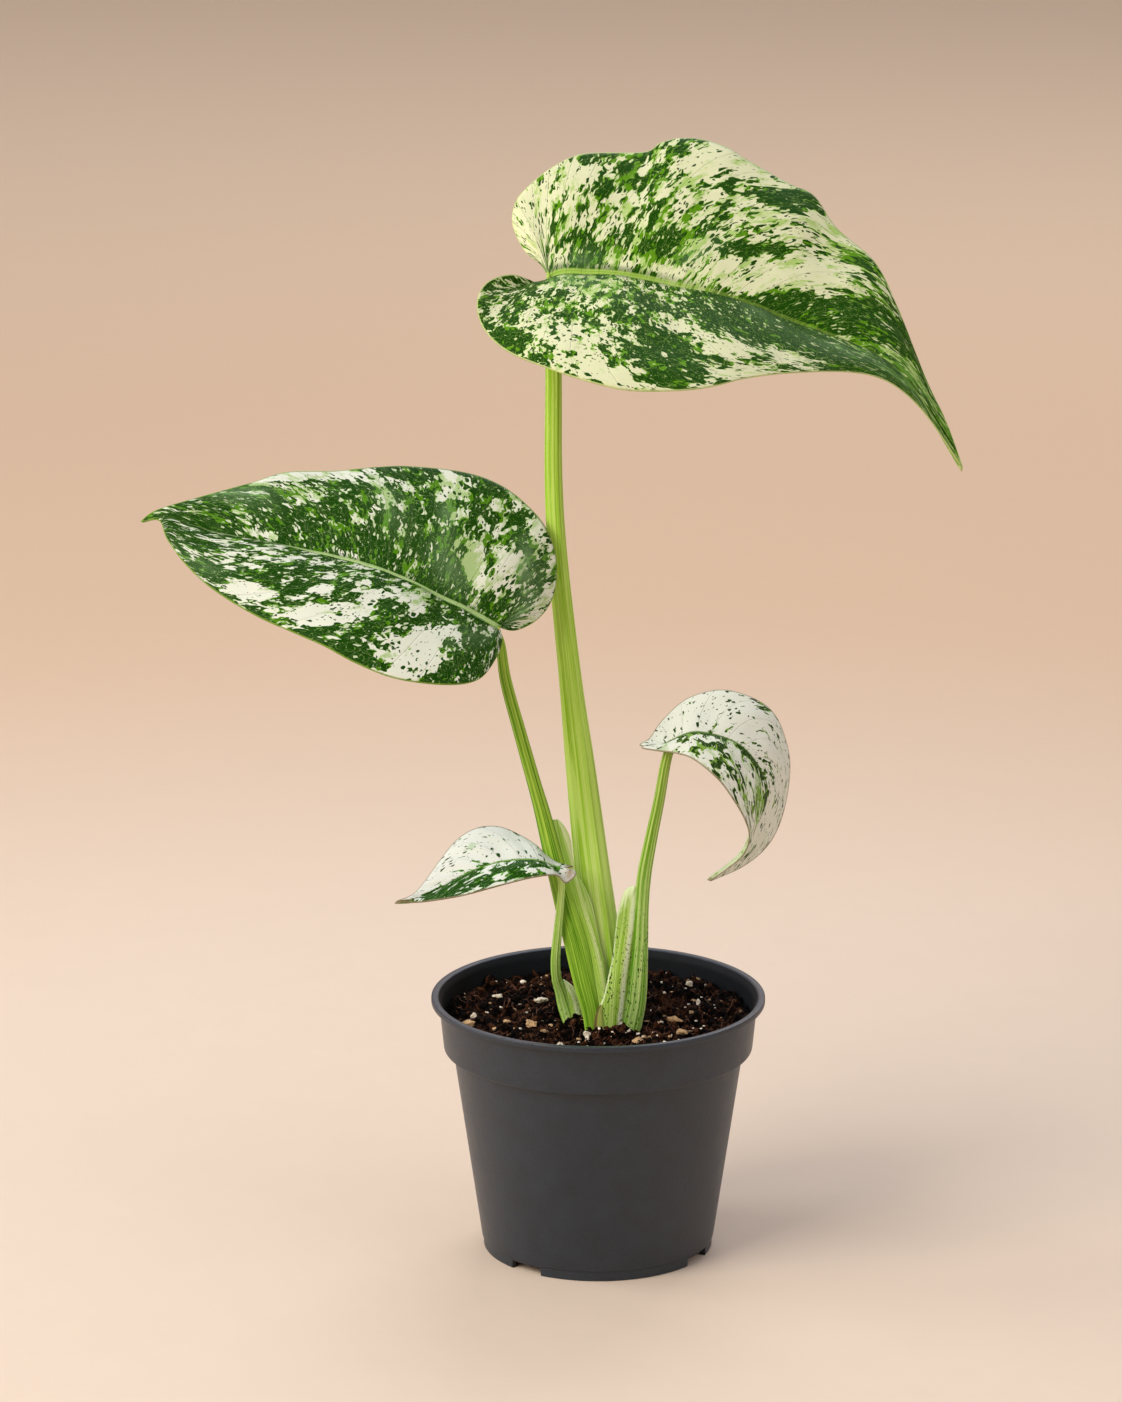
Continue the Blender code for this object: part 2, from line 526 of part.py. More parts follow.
def main():
    clear_scene()
    materials = make_materials()
    make_pot(materials["pot"])
    soil = make_soil(materials["soil"])
    bpy.context.view_layer.update()
    scatter(materials, BVHTree.FromObject(soil, bpy.context.evaluated_depsgraph_get()))
    make_crown("root_crown", materials["crown"])
    for cutter in make_stems(materials):
        add_boolean(soil, cutter)
    for name, blade in BLADES.items():
        add_blade(name, blade, materials[name])


main()
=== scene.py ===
# %% [markdown]
# # A variegated philodendron in a nursery pot
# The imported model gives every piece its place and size. This lesson dresses it: a moulded pot, potting
# soil, four stalks and four leaves, each worked out as a surface with numpy and finished with
# procedural materials. Lengths are written in millimetres and become metres when a mesh is made.

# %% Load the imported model
import math

import bmesh
import bpy
import numpy as np
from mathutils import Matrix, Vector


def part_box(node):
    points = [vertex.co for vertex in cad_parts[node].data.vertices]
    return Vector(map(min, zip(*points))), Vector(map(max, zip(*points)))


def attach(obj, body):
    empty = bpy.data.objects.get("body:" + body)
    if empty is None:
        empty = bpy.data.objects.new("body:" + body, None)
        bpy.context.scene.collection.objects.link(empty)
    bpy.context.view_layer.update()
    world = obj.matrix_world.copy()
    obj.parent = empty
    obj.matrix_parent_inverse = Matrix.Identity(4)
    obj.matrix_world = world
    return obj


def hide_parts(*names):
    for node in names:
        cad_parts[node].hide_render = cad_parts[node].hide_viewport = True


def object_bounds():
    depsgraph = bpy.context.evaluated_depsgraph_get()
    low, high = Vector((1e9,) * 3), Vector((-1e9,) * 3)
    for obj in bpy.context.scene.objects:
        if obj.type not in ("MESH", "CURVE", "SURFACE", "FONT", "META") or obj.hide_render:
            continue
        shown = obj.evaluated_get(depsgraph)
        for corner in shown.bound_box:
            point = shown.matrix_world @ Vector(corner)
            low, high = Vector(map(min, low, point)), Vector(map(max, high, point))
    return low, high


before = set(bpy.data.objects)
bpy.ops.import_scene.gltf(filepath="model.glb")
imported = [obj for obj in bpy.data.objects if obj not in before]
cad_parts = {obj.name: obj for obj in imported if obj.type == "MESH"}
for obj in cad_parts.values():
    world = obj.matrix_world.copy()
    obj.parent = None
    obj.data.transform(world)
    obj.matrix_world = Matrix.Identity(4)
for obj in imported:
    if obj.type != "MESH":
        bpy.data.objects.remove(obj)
CAD_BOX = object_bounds()
MM = 0.001
print("the model's box in millimetres:", np.round(np.array(CAD_BOX) / MM, 1).tolist())

# %% [markdown]
# ## Tools for surfaces
# Every new piece is a grid of points: a position for each pair of two parameters, worked out as whole
# arrays. A seam's points are written twice, once with each end's texture coordinate, and are merged
# after the coordinates are stored, so a closed tube has no smeared strip. That is simpler than
# unwrapping a finished mesh, and a pattern can follow the growth of the leaf.


# %% Grids of points become meshes
def unit(vectors):
    """Vectors scaled to length one."""
    return vectors / np.maximum(np.linalg.norm(vectors, axis=-1, keepdims=True), 1e-12)


def quads_of(rows, columns):
    """Corner numbers of the quads between neighbouring points of a grid."""
    row, column = np.meshgrid(np.arange(rows - 1), np.arange(columns - 1), indexing="ij")
    low = row * columns + column
    return np.stack([low, low + 1, low + columns + 1, low + columns], axis=-1).reshape(-1, 4)


def put_mesh(name, points, faces, materials, uv=None, marks=None, smooth=True):
    """Make an object from points (millimetres) and faces, with texture coordinates and marks per point."""
    mesh = bpy.data.meshes.new(name)
    mesh.from_pydata(np.asarray(points, float).reshape(-1, 3) * MM, [], np.asarray(faces))
    if uv is not None:
        corners = np.empty(len(mesh.loops), np.int32)
        mesh.loops.foreach_get("vertex_index", corners)
        layer = mesh.uv_layers.new(name="surface")
        layer.data.foreach_set("uv", uv.reshape(-1, 2)[corners].astype(np.float32).ravel())
    for label, values in (marks or {}).items():
        mark = mesh.attributes.new(label, "FLOAT", "POINT")
        mark.data.foreach_set("value", np.asarray(values, np.float32).ravel())
    shape = bmesh.new()
    shape.from_mesh(mesh)
    bmesh.ops.remove_doubles(shape, verts=shape.verts, dist=1e-6)
    shape.to_mesh(mesh)
    shape.free()
    mesh.polygons.foreach_set("use_smooth", np.full(len(mesh.polygons), smooth))
    item = bpy.data.objects.new(name, mesh)
    bpy.context.scene.collection.objects.link(item)
    for material in materials:
        mesh.materials.append(material)
    return item


def put_grid(name, points, materials, uv=None, marks=None, turned=False):
    """Make an object from a grid of points. turned makes its faces look the other way."""
    faces = quads_of(*points.shape[:2])
    return put_mesh(name, points, faces[:, ::-1] if turned else faces, materials, uv, marks)


def thicken(item, thickness, underside=0):
    """Solidify a sheet to both sides. underside is how many materials further on its lower skin's is."""
    sheet = item.modifiers.new("thickness", "SOLIDIFY")
    sheet.thickness = thickness * MM
    sheet.offset = 0
    sheet.material_offset = underside


def finish_piece(item, slot, *nodes):
    """The piece rides on the plant's one body and stands for these nodes. slot is not used."""
    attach(item, "root")
    if nodes:
        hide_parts(*nodes)
    print(f"{item.name}: {len(item.data.polygons)} faces")


# %% [markdown]
# Two more tools: a smooth curve through a few given points, and a gentle random relief. The relief is a sum
# of plane waves in seeded random directions. It needs no lattice and no image, it is the same on each run,
# and it can be read at any point in space.


# %% Smooth curves and a random relief
def travel_along(points):
    """Distance travelled from the first point to each point of a line."""
    return np.concatenate([[0], np.cumsum(np.linalg.norm(np.diff(points, axis=0), axis=1))])


def smooth_path(points, shares):
    """Catmull-Rom curve through the rows of points, read at shares (0 to 1) of its length."""
    knots = np.asarray(points, float)
    knots = np.vstack([2 * knots[:1] - knots[1:2], knots, 2 * knots[-1:] - knots[-2:-1]])
    a, b, c, d = (knots[k : len(knots) - 3 + k, None] for k in range(4))
    step = np.linspace(0, 1, 16, endpoint=False)[None, :, None]
    square, cube = 2 * a - 5 * b + 4 * c - d, 3 * b - a - 3 * c + d
    runs = b + 0.5 * ((c - a) * step + square * step**2 + cube * step**3)
    fine = np.vstack([runs.reshape(-1, knots.shape[1]), knots[-2:-1]])
    travel = travel_along(fine[:, :3])
    shares = np.asarray(shares) * travel[-1]
    return np.stack([np.interp(shares, travel, column) for column in fine.T], axis=-1)


def relief(points, size, seed, waves=18):
    """Random relief around 0, bumps about size apart: plane waves added, over the root of their number."""
    rng = np.random.default_rng(seed)
    turn = unit(rng.normal(size=(waves, 3))) * rng.uniform(0.6, 1.5, (waves, 1)) * math.tau / size
    phase = rng.uniform(0, math.tau, waves)
    return np.sin(np.asarray(points) @ turn.T + phase).sum(axis=-1) / math.sqrt(waves)


def step_up(values, low, high):
    """0 below low, 1 above high, and a smooth S between."""
    share = np.clip((values - low) / (high - low), 0, 1)
    return share * share * (3 - 2 * share)


# %% [markdown]
# ## Tools for materials
# A material is one Principled shader. Numbers that are the same all over a surface are set on its own
# sockets. Patterns come from nodes that read Object coordinates, or the texture coordinates and marks
# that the surface carries. A Value below stands for what a node puts out: adding, multiplying or
# ramping it sets the nodes that do so, and a pattern reads like a formula.


# %% Nodes and colours in few words
def tint(code):
    """A colour written as six hexadecimal digits, made linear."""
    share = np.array([int(code[k : k + 2], 16) for k in (0, 2, 4)]) / 255
    linear = np.where(share <= 0.04045, share / 12.92, ((share + 0.055) / 1.055) ** 2.4)
    return (*linear.tolist(), 1.0)


class Value:
    """A node's output in a tree. Sums, differences and products with it add a node for that step."""

    def __init__(self, tree, socket):
        self.tree, self.socket = tree, socket

    def __add__(self, other):
        return self.step("ADD", other)

    def __sub__(self, other):
        return self.step("SUBTRACT", other)

    def __mul__(self, other):
        return self.step("MULTIPLY", other)

    def step(self, operation, other=0.0):
        """One arithmetic step on this value and another."""
        return add(self.tree, "Math", {0: self, 1: other}, operation=operation)

    def ramp(self, low, high, start=0.0, end=1.0, smooth=True):
        """Map low..high to start..end."""
        inputs = {"Value": self, "From Min": low, "From Max": high, "To Min": start, "To Max": end}
        return add(self.tree, "MapRange", inputs, interpolation_type="SMOOTHSTEP" if smooth else "LINEAR")

    def swing(self, amount):
        """A noise value turned into a swing round zero."""
        return (self - 0.5) * amount

    def off_middle(self):
        """How far a noise value lies from its middle. It is zero along thin winding lines."""
        return (self - 0.5).step("ABSOLUTE")

    def passes(self, level, softness):
        """1 where the value is above level, with a soft border."""
        return (self - level).ramp(-softness, softness)

    def scaled(self, across, along, shift=0.0, turn=0.0):
        """Texture coordinates times across and along, turned by turn (radians) and moved by shift."""
        inputs = {"Vector": self, "Scale": (across, along, 1)}
        inputs.update(Location=(shift, shift, 0), Rotation=(0, 0, turn))
        return add(self.tree, "Mapping", inputs)

    def noise(self, scale, detail=2.0, roughness=0.5, distortion=0.0, out=0):
        """A noise at this place, with features about 1 / scale apart."""
        inputs = {"Vector": self, "Scale": scale, "Detail": detail, "Roughness": roughness}
        return add(self.tree, "TexNoise", {**inputs, "Distortion": distortion}, out)

    def drawn_noise(self, across, along, shift=0.0, detail=2.0, roughness=0.5, distortion=0.0):
        """A noise with so many features across and along for each unit of the texture coordinates."""
        return self.scaled(across, along, shift).noise(1.0, detail, roughness, distortion)


def fill(tree, node, inputs):
    """Link each input that is given as a Value, and set the others."""
    for key, value in inputs.items():
        if isinstance(value, Value):
            tree.links.new(value.socket, node.inputs[key])
        else:
            node.inputs[key].default_value = value


def add(tree, kind, inputs=None, out=0, **settings):
    """Add a node, fill its inputs, and give back one of its outputs."""
    node = tree.nodes.new("ShaderNode" + kind)
    for key, value in settings.items():
        setattr(node, key, value)
    fill(tree, node, inputs or {})
    return Value(tree, node.outputs[out])


def mix(tree, share, first, second):
    """The first colour with a share of the second."""
    return add(tree, "Mix", {0: share, 6: first, 7: second}, 2, data_type="RGBA")


def own_place(tree):
    """The place on the object, in metres."""
    return add(tree, "TexCoord", out=3)


def mark(tree, label):
    """A number that the surface carries at each point."""
    return add(tree, "Attribute", out=2, attribute_name=label)


# %% [markdown]
# A finish is a colour, a roughness and a height. dress links the three to a material's shader. A group
# works them out for several materials, and dress_with puts it in.


# %% Materials and groups
def new_material(name, gloss=0.5):
    """A Principled material with gloss as its specular level."""
    material = bpy.data.materials.new(name)
    material.use_nodes = True
    shader = material.node_tree.nodes["Principled BSDF"]
    shader.inputs["Specular IOR Level"].default_value = gloss
    return material, material.node_tree, shader


def dress(tree, shader, colour, roughness, height, depth):
    """Link a colour and a roughness to the shader, and a height as a bump of depth metres."""
    normal = add(tree, "Bump", {"Height": height, "Distance": depth, "Strength": 1.0})
    fill(tree, shader, {"Base Color": colour, "Roughness": roughness, "Normal": normal})


def new_group(name, inputs):
    """A node group with named inputs (name: kind, value) and a finish as its outputs."""
    tree = bpy.data.node_groups.new(name, "ShaderNodeTree")
    for label, (kind, value) in inputs.items():
        socket = tree.interface.new_socket(label, in_out="INPUT", socket_type="NodeSocket" + kind)
        socket.default_value = value
    for label, kind in (("Colour", "Color"), ("Roughness", "Float"), ("Height", "Float")):
        tree.interface.new_socket(label, in_out="OUTPUT", socket_type="NodeSocket" + kind)
    given = tree.nodes.new("NodeGroupInput").outputs
    return tree, {label: Value(tree, given[label]) for label in inputs}, tree.nodes.new("NodeGroupOutput")


def dress_with(tree, shader, group, inputs, depth):
    """Put a group into a material, and dress the shader with its finish."""
    node = tree.nodes.new("ShaderNodeGroup")
    node.node_tree = group
    fill(tree, node, inputs)
    dress(tree, shader, *(Value(tree, node.outputs[key]) for key in ("Colour", "Roughness", "Height")), depth)


# %% [markdown]
# ## Fine grain
# Moulded plastic, soil fibres, bark and perlite all have a fine irregular grain that breaks up the
# colour, the gloss and the surface. One node group gives all three, and each material sets its scale
# and depth.

# %% The grain group
grain, given, result = new_group(
    "fine grain",
    {"Vector": ("Vector", (0, 0, 0)), "Scale": ("Float", 500.0), "Colour": ("Color", (0.5, 0.5, 0.5, 1)),
     "Contrast": ("Float", 0.2), "Roughness": ("Float", 0.5), "Spread": ("Float", 0.1)},
)
broad = given["Vector"].noise(given["Scale"] * 0.07, 3)
fine = given["Vector"].noise(given["Scale"], 3, 0.6)
uneven = (broad * 0.5 + fine * 0.5).swing(4.0)
gain = uneven * given["Contrast"] + 1.0
coloured = add(grain, "VectorMath", {0: given["Colour"], 3: gain}, operation="SCALE")
rough = uneven * given["Spread"] + given["Roughness"]
fill(grain, result, {"Colour": coloured, "Roughness": rough, "Height": fine})
print("grain group:", len(grain.nodes), "nodes")


def grained_material(name, colour, scale, contrast, roughness, spread, depth, gloss=0.5):
    """A Principled material whose colour, gloss and surface carry the fine grain."""
    material, tree, shader = new_material(name, gloss)
    values = {"Vector": own_place(tree), "Scale": scale, "Colour": tint(colour), "Contrast": contrast,
              "Roughness": roughness, "Spread": spread}
    dress_with(tree, shader, grain, values, depth)
    return material


def shader_of(material):
    """A material's tree, its Principled shader, and the sockets that give its colour and roughness."""
    shader = material.node_tree.nodes["Principled BSDF"]
    tree = material.node_tree
    sources = (shader.inputs[key].links[0].from_socket for key in ("Base Color", "Roughness"))
    return tree, shader, *(Value(tree, socket) for socket in sources)


# %% [markdown]
# ## The pot
# The real pot is one injection moulding of dark grey plastic: a thin wall, a flat rolled lip, a collar
# that steps in below, a tapered body, and a foot ring with four notches that let water out. A lathed
# section makes it. Each corner of the section is replaced by a small arc, because a moulding has no
# sharp corners and its edges catch the light. In the notches the foot's underside is lifted, so they
# belong to the same grid and need no cutting.

# %% The pot's section
POT_HIGH = np.array(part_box("pot")[1]) / MM
POT_HEIGHT = float(POT_HIGH[2])
RIM_RADIUS = float(POT_HIGH[0])
LIP_WIDTH, LIP_DEPTH = 2.4, 2.0
COLLAR_TOP_RADIUS, COLLAR_BOTTOM_RADIUS, COLLAR_BOTTOM = 57.2, 55.5, 74.8
FOOT_RADIUS, BODY_FLARE, WALL, FOOT_HEIGHT, PAD_RADIUS = 41.4, 0.145, 1.1, 3.2, 18.5
NOTCH_ANGLES, NOTCH_WIDTH, NOTCH_HEIGHT = (-39, 60, 141, 240), 13.0, 3.0
FOOT_RING = 2.15
DRAIN_RADIUS, DRAIN_CIRCLE, DRAIN_CUT = 4.5, 32.5, 4.0


def body_radius(height):
    """Outer radius of the tapered body: the foot's radius and a share of the height."""
    return FOOT_RADIUS + BODY_FLARE * height


def pot_corners():
    """Corners (radius, height, rounding) from the middle of the floor, over the lip, to the underside."""
    step = COLLAR_BOTTOM + WALL
    collar = COLLAR_BOTTOM_RADIUS - WALL
    under = POT_HEIGHT - LIP_DEPTH
    return np.array([
        (0, WALL, 0), (PAD_RADIUS - 0.5, WALL, 2), (PAD_RADIUS + 6.5, FOOT_HEIGHT + WALL, 2),
        (FOOT_RADIUS - 1.4, FOOT_HEIGHT + WALL, 1.5), (body_radius(step) - WALL, step, 0.7),
        (collar, step, 0.7), (COLLAR_TOP_RADIUS - WALL, POT_HEIGHT - 2.2, 1),
        (RIM_RADIUS - LIP_WIDTH, POT_HEIGHT, 0.6), (RIM_RADIUS, POT_HEIGHT, 0.5), (RIM_RADIUS, under, 0.4),
        (COLLAR_TOP_RADIUS, under - 0.2, 0.3),
        (COLLAR_BOTTOM_RADIUS, COLLAR_BOTTOM, 0.8), (body_radius(COLLAR_BOTTOM), COLLAR_BOTTOM - 0.3, 0.5),
        (body_radius(FOOT_HEIGHT + 0.7), FOOT_HEIGHT + 0.7, 0.2), (FOOT_RADIUS, FOOT_HEIGHT + 0.4, 0.2),
        (FOOT_RADIUS, 0, 0.5), (FOOT_RADIUS - 1.8, 0, 0.3), (FOOT_RADIUS - 2.1, FOOT_HEIGHT, 0.5),
        (PAD_RADIUS + 7, FOOT_HEIGHT, 1.5), (PAD_RADIUS, 0, 1), (0, 0, 0),
    ])


def rounded(corners, steps=5):
    """Each corner becomes an arc: (1-s)^2 A + 2s(1-s) P + s^2 B, with A and B a rounding away from P."""
    here, size = corners[1:-1, :2], corners[1:-1, 2:]
    back, ahead = corners[:-2, :2] - here, corners[2:, :2] - here
    sides = [np.linalg.norm(side, axis=1, keepdims=True) for side in (back, ahead)]
    reach = np.minimum(size, 0.45 * np.minimum(*sides))
    s = np.linspace(0, 1, steps)[None, :, None]
    first, last = (here + unit(back) * reach)[:, None], (here + unit(ahead) * reach)[:, None]
    arcs = (1 - s) ** 2 * first + 2 * s * (1 - s) * here[:, None] + s**2 * last
    return np.vstack([corners[:1, :2], arcs.reshape(-1, 2), corners[-1:, :2]])


def divided(section, longest=4.0):
    """Add points on long straight stretches, so that no step is much longer than longest."""
    travel = travel_along(section)
    places = np.union1d(travel, np.linspace(0, travel[-1], int(travel[-1] / longest)))
    return np.stack([np.interp(places, travel, column) for column in section.T], axis=1)


section = divided(rounded(pot_corners()))
print("pot section:", len(section), "points")

# %% [markdown]
# The grid's first parameter runs round the pot and its second along the section. Angles are added at each
# side of each notch, so the notch walls are steep. The four drain holes in the base are cut with a Boolean,
# which is then applied. Inside, the colour is darkened to near black as painted shade, and the plastic is
# rougher and less glossy there.


# %% The pot's surface
def notch_share(angles):
    """1 inside a notch and 0 outside."""
    half = math.asin(NOTCH_WIDTH / 2 / FOOT_RADIUS)
    centres = np.radians(NOTCH_ANGLES)[:, None]
    away = np.abs((angles[None] - centres + math.pi) % math.tau - math.pi)
    return (away < half).any(axis=0).astype(float)


def pot_angles(turns=176):
    """Angles round the pot, with a pair of close ones at each side of each notch."""
    half = math.asin(NOTCH_WIDTH / 2 / FOOT_RADIUS)
    sides = np.radians(NOTCH_ANGLES)[:, None] + np.array([-half, half])
    pairs = (sides[..., None] + np.array([-0.002, 0.002])).ravel() % math.tau
    return np.union1d(np.linspace(0, math.tau, turns + 1), pairs)


def ring_point(radius, angles, height):
    """Points at a radius and at angles from the front (-Y), turning towards the right (+X)."""
    return np.stack(np.broadcast_arrays(radius * np.sin(angles), -radius * np.cos(angles), height), axis=-1)


def pot_points():
    """radius, height from the section; in a notch the foot ring's height is at least the notch's height."""
    angles = pot_angles()
    radius, height = section[None, :, 0], np.repeat(section[None, :, 1], len(angles), axis=0)
    foot = (radius > FOOT_RADIUS - FOOT_RING) & (height < NOTCH_HEIGHT)
    height = np.where(foot & (notch_share(angles)[:, None] > 0.5), NOTCH_HEIGHT, height)
    return ring_point(radius, angles[:, None], height)


def cut_drains(item):
    """Cut four round drain holes through the raised base, and apply the cuts."""
    for angle in NOTCH_ANGLES:
        x, y, _ = ring_point(DRAIN_CIRCLE, math.radians(angle), 0)
        centre = (x * MM, y * MM, (FOOT_HEIGHT + WALL / 2) * MM)
        bpy.ops.mesh.primitive_cylinder_add(
            vertices=40, radius=DRAIN_RADIUS * MM, depth=DRAIN_CUT * MM, location=centre)
        cutter = bpy.context.object
        step = item.modifiers.new("drain", "BOOLEAN")
        step.object = cutter
        bpy.context.view_layer.update()
        cut = bpy.data.meshes.new_from_object(item.evaluated_get(bpy.context.evaluated_depsgraph_get()))
        item.modifiers.clear()
        item.data = cut
        bpy.data.objects.remove(cutter, do_unlink=True)


plastic = grained_material("dark grey plastic", "1b2530", 1700, 0.5, 0.38, 0.1, 0.0002, gloss=0.55)
tree, shader, moulded, rough = shader_of(plastic)
inside = mark(tree, "inside")
# painted shade: inside the pot the colour is darkened towards near black
dull = mix(tree, inside * 0.85, moulded, tint("07090c"))
rough = rough + inside * 0.25
gloss = inside.ramp(0, 1, 0.55, 0.2)
fill(tree, shader, {"Base Color": dull, "Roughness": rough, "Specular IOR Level": gloss})
points = pot_points()
place = np.arange(len(section)) / len(section)
within = (section[:, 0] < RIM_RADIUS - LIP_WIDTH - 0.2) & (section[:, 1] > WALL - 0.1) & (place < 0.5)
marks = {"inside": np.repeat(within[None].astype(float), len(points), axis=0)}
pot = put_grid("moulded_pot", points, [plastic], None, marks, turned=True)
cut_drains(pot)
finish_piece(pot, "pot", "pot")

# %% [markdown]
# ## The potting soil
# Real potting soil is peat and fine bark: dark crumbs of every size, reddish fibres, tan bark bits and
# white perlite. A displaced surface gives the ground, and thousands of separate crumbs lie on it, so
# that the surface has real shadows and a broken outline. Small crumbs have 20 sides and larger lumps
# 80. Each kind is one mesh, in which every crumb has its own turn, size and shade, and all are worked
# out at once.

# %% The ground
SOIL_LEVEL, STEM_FOOT = 86.5, (3.5, -12.0)
SOIL_EDGE = COLLAR_TOP_RADIUS - WALL - 1.2
MEAN_RELIEF = 1.6


def soil_height(x, y):
    """Height of the soil: rolling lumps, a mound round the stems, a rise at the back right, and clods."""
    lumps = 1.1 * np.sin(0.21 * x + 0.7) * np.cos(0.24 * y - 0.4) + 0.8 * np.sin(0.33 * x - 0.19 * y + 2.1)
    crumbs = 0.5 * np.cos(0.45 * y + 0.28 * x)
    mound = 2.2 * np.exp(-((x - STEM_FOOT[0]) ** 2 + (y - STEM_FOOT[1]) ** 2) / (2 * 11**2))
    rise = 1.8 * np.exp(-((x - 28) ** 2 + (y - 26) ** 2) / (2 * 16**2))
    flat = np.stack([x, y, 0 * x], axis=-1)
    clods = 1.5 * np.abs(relief(flat, 9, 4)) + 0.8 * relief(flat, 4.5, 1) + 0.5 * relief(flat, 2.2, 2)
    fine = 0.28 * relief(flat, 1.3, 3)
    return SOIL_LEVEL + 0.8 * lumps + crumbs + mound + rise + clods + fine - MEAN_RELIEF


def soil_points(rings=116, turns=300):
    """The lumpy top, ring by ring from the middle, then the side and the bottom inside the pot."""
    radius = SOIL_EDGE * np.linspace(0, 1, rings)[:, None]
    angles = np.linspace(0, math.tau, turns + 1)[None]
    top = ring_point(radius, angles, 0.0)
    top[..., 2] = soil_height(top[..., 0], top[..., 1])
    side = [(SOIL_EDGE, COLLAR_BOTTOM + 2), (body_radius(74) - WALL - 0.4, 74), (FOOT_RADIUS - 2, 6), (0, 6)]
    under = [ring_point(reach, angles[0], height) for reach, height in side]
    return np.concatenate([top, np.stack(under)])


def soil_colour(tree, shade):
    """Near black to red-brown by shade, darker in broad random patches, with tan at the top of the range."""
    broad_dark_patches = own_place(tree).noise(95, 2).ramp(0.4, 0.6, 0.32, 0.0)
    colour = mix(tree, (shade - broad_dark_patches).ramp(0.2, 0.8), tint("070403"), tint("4a2c1b"))
    colour = mix(tree, shade.ramp(0.86, 0.92), colour, tint("85603e"))
    return mix(tree, shade.ramp(0.955, 0.965), colour, tint("c4a880"))


soil_skin, tree, shader = new_material("peat", 0.06)
place = own_place(tree)
patchy = place.noise(600, 5, 0.75)
# painted shade: the ground's colour is darker in the hollows between clods and lighter on their tops
shade = patchy.ramp(0.3, 0.75, -0.1, 0.75) + mark(tree, "painted_clod_shade") * 0.4
dull = patchy.ramp(0.3, 0.7, 0.8, 1.0)
dress(tree, shader, soil_colour(tree, shade), dull, place.noise(1500, 4, 0.7), 0.0006)
points = soil_points()
flat = points * np.array([1.0, 1.0, 0.0])
# these bumps follow the clods' relief; the mark made from them carries the painted shade
bumps = relief(flat, 4.5, 1) + 0.8 * relief(flat, 2.2, 2) + 0.6 * relief(flat, 1.3, 3)
soil = put_grid("soil_ball", points, [soil_skin], None, {"painted_clod_shade": step_up(bumps, -0.6, 0.9) - 0.3})
finish_piece(soil, "soil", "soil")


# %% Crumbs on the ground
def ball_of(faces):
    """Corners and triangles of an icosahedron (20 faces) or its first subdivision (80 faces)."""
    shape = bmesh.new()
    bmesh.ops.create_icosphere(shape, subdivisions=1 if faces == 20 else 2, radius=1)
    corners = np.array([vertex.co[:] for vertex in shape.verts])
    triangles = np.array([[vertex.index for vertex in face.verts] for face in shape.faces])
    shape.free()
    return corners, triangles


def random_turns(rng, count):
    """Random rotation matrices: the QR parts of random matrices, with mirrored ones turned round."""
    turns = np.linalg.qr(rng.normal(size=(count, 3, 3)))[0]
    return turns * np.linalg.det(turns)[:, None, None]


def on_soil(rng, count, edge=SOIL_EDGE - 0.8):
    """Random places on the soil, evenly spread."""
    radius, angle = edge * np.sqrt(rng.uniform(size=count)), rng.uniform(0, math.tau, count)
    x, y = radius * np.cos(angle), radius * np.sin(angle)
    return np.stack([x, y, soil_height(x, y)], axis=-1)


def lumps(count, sizes, flatness, seed, faces, rise=0.0):
    """Many lumps on the soil, each with its corners pushed in and out, stretched and turned.

    rise is how far a lump's centre lies above the ground, as a share of its flattened size.
    """
    rng = np.random.default_rng(seed)
    corners, triangles = ball_of(faces)
    size = np.exp(rng.uniform(*np.log(sizes), count))[:, None, None]
    lobes = np.einsum("nk,ck->nc", rng.normal(size=(count, 3)), corners) + rng.normal(size=(count, 1)) * 2
    uneven = 1 + 0.12 * np.sin(2.5 * lobes) + rng.uniform(-0.16, 0.12, (count, len(corners)))
    stretch = rng.uniform(0.5, 1.25, (count, 1, 3))
    turned = np.einsum("nij,nkj->nki", random_turns(rng, count), corners[None] * uneven[..., None] * stretch)
    turned[..., 2] *= flatness
    centre = on_soil(rng, count)
    centre[:, 2] += size[:, 0, 0] * rise * flatness
    points = centre[:, None] + turned * size
    numbers = triangles[None] + len(corners) * np.arange(count)[:, None, None]
    shade = np.repeat(rng.uniform(0, 1, count), len(corners))
    return points.reshape(-1, 3), numbers.reshape(-1, 3), shade


crumb_skin, tree, shader = new_material("crumbs", 0.06)
fleck = own_place(tree).noise(1100, 4, 0.7)
mottled = mark(tree, "shade") * 0.75 + fleck * 0.5
dark = soil_colour(tree, mottled - 0.16)
dress(tree, shader, dark, fleck.ramp(0.3, 0.7, 0.8, 1.0), fleck, 0.0006)
# Each kind: how many, its smallest and largest size, its sides, its seed.
CRUMBS = {"soil_crumbs": (6500, (0.22, 0.75), 20, 11), "soil_lumps": (380, (0.8, 1.7), 80, 12)}
for name, (count, sizes, faces, seed) in CRUMBS.items():
    points, triangles, shade = lumps(count, sizes, 0.85, seed, faces, rise=0.1)
    item = put_mesh(name, points, triangles, [crumb_skin], marks={"shade": shade}, smooth=False)
    finish_piece(item, "soil")

# %% [markdown]
# ## Fibres
# Coir and root fibres lie across the crumbs as thin, bent, red-brown threads. Each is a short tube with
# four sides along a curved line. All are made in one array: the first number counts the fibres, the
# second runs along each and the third round it.


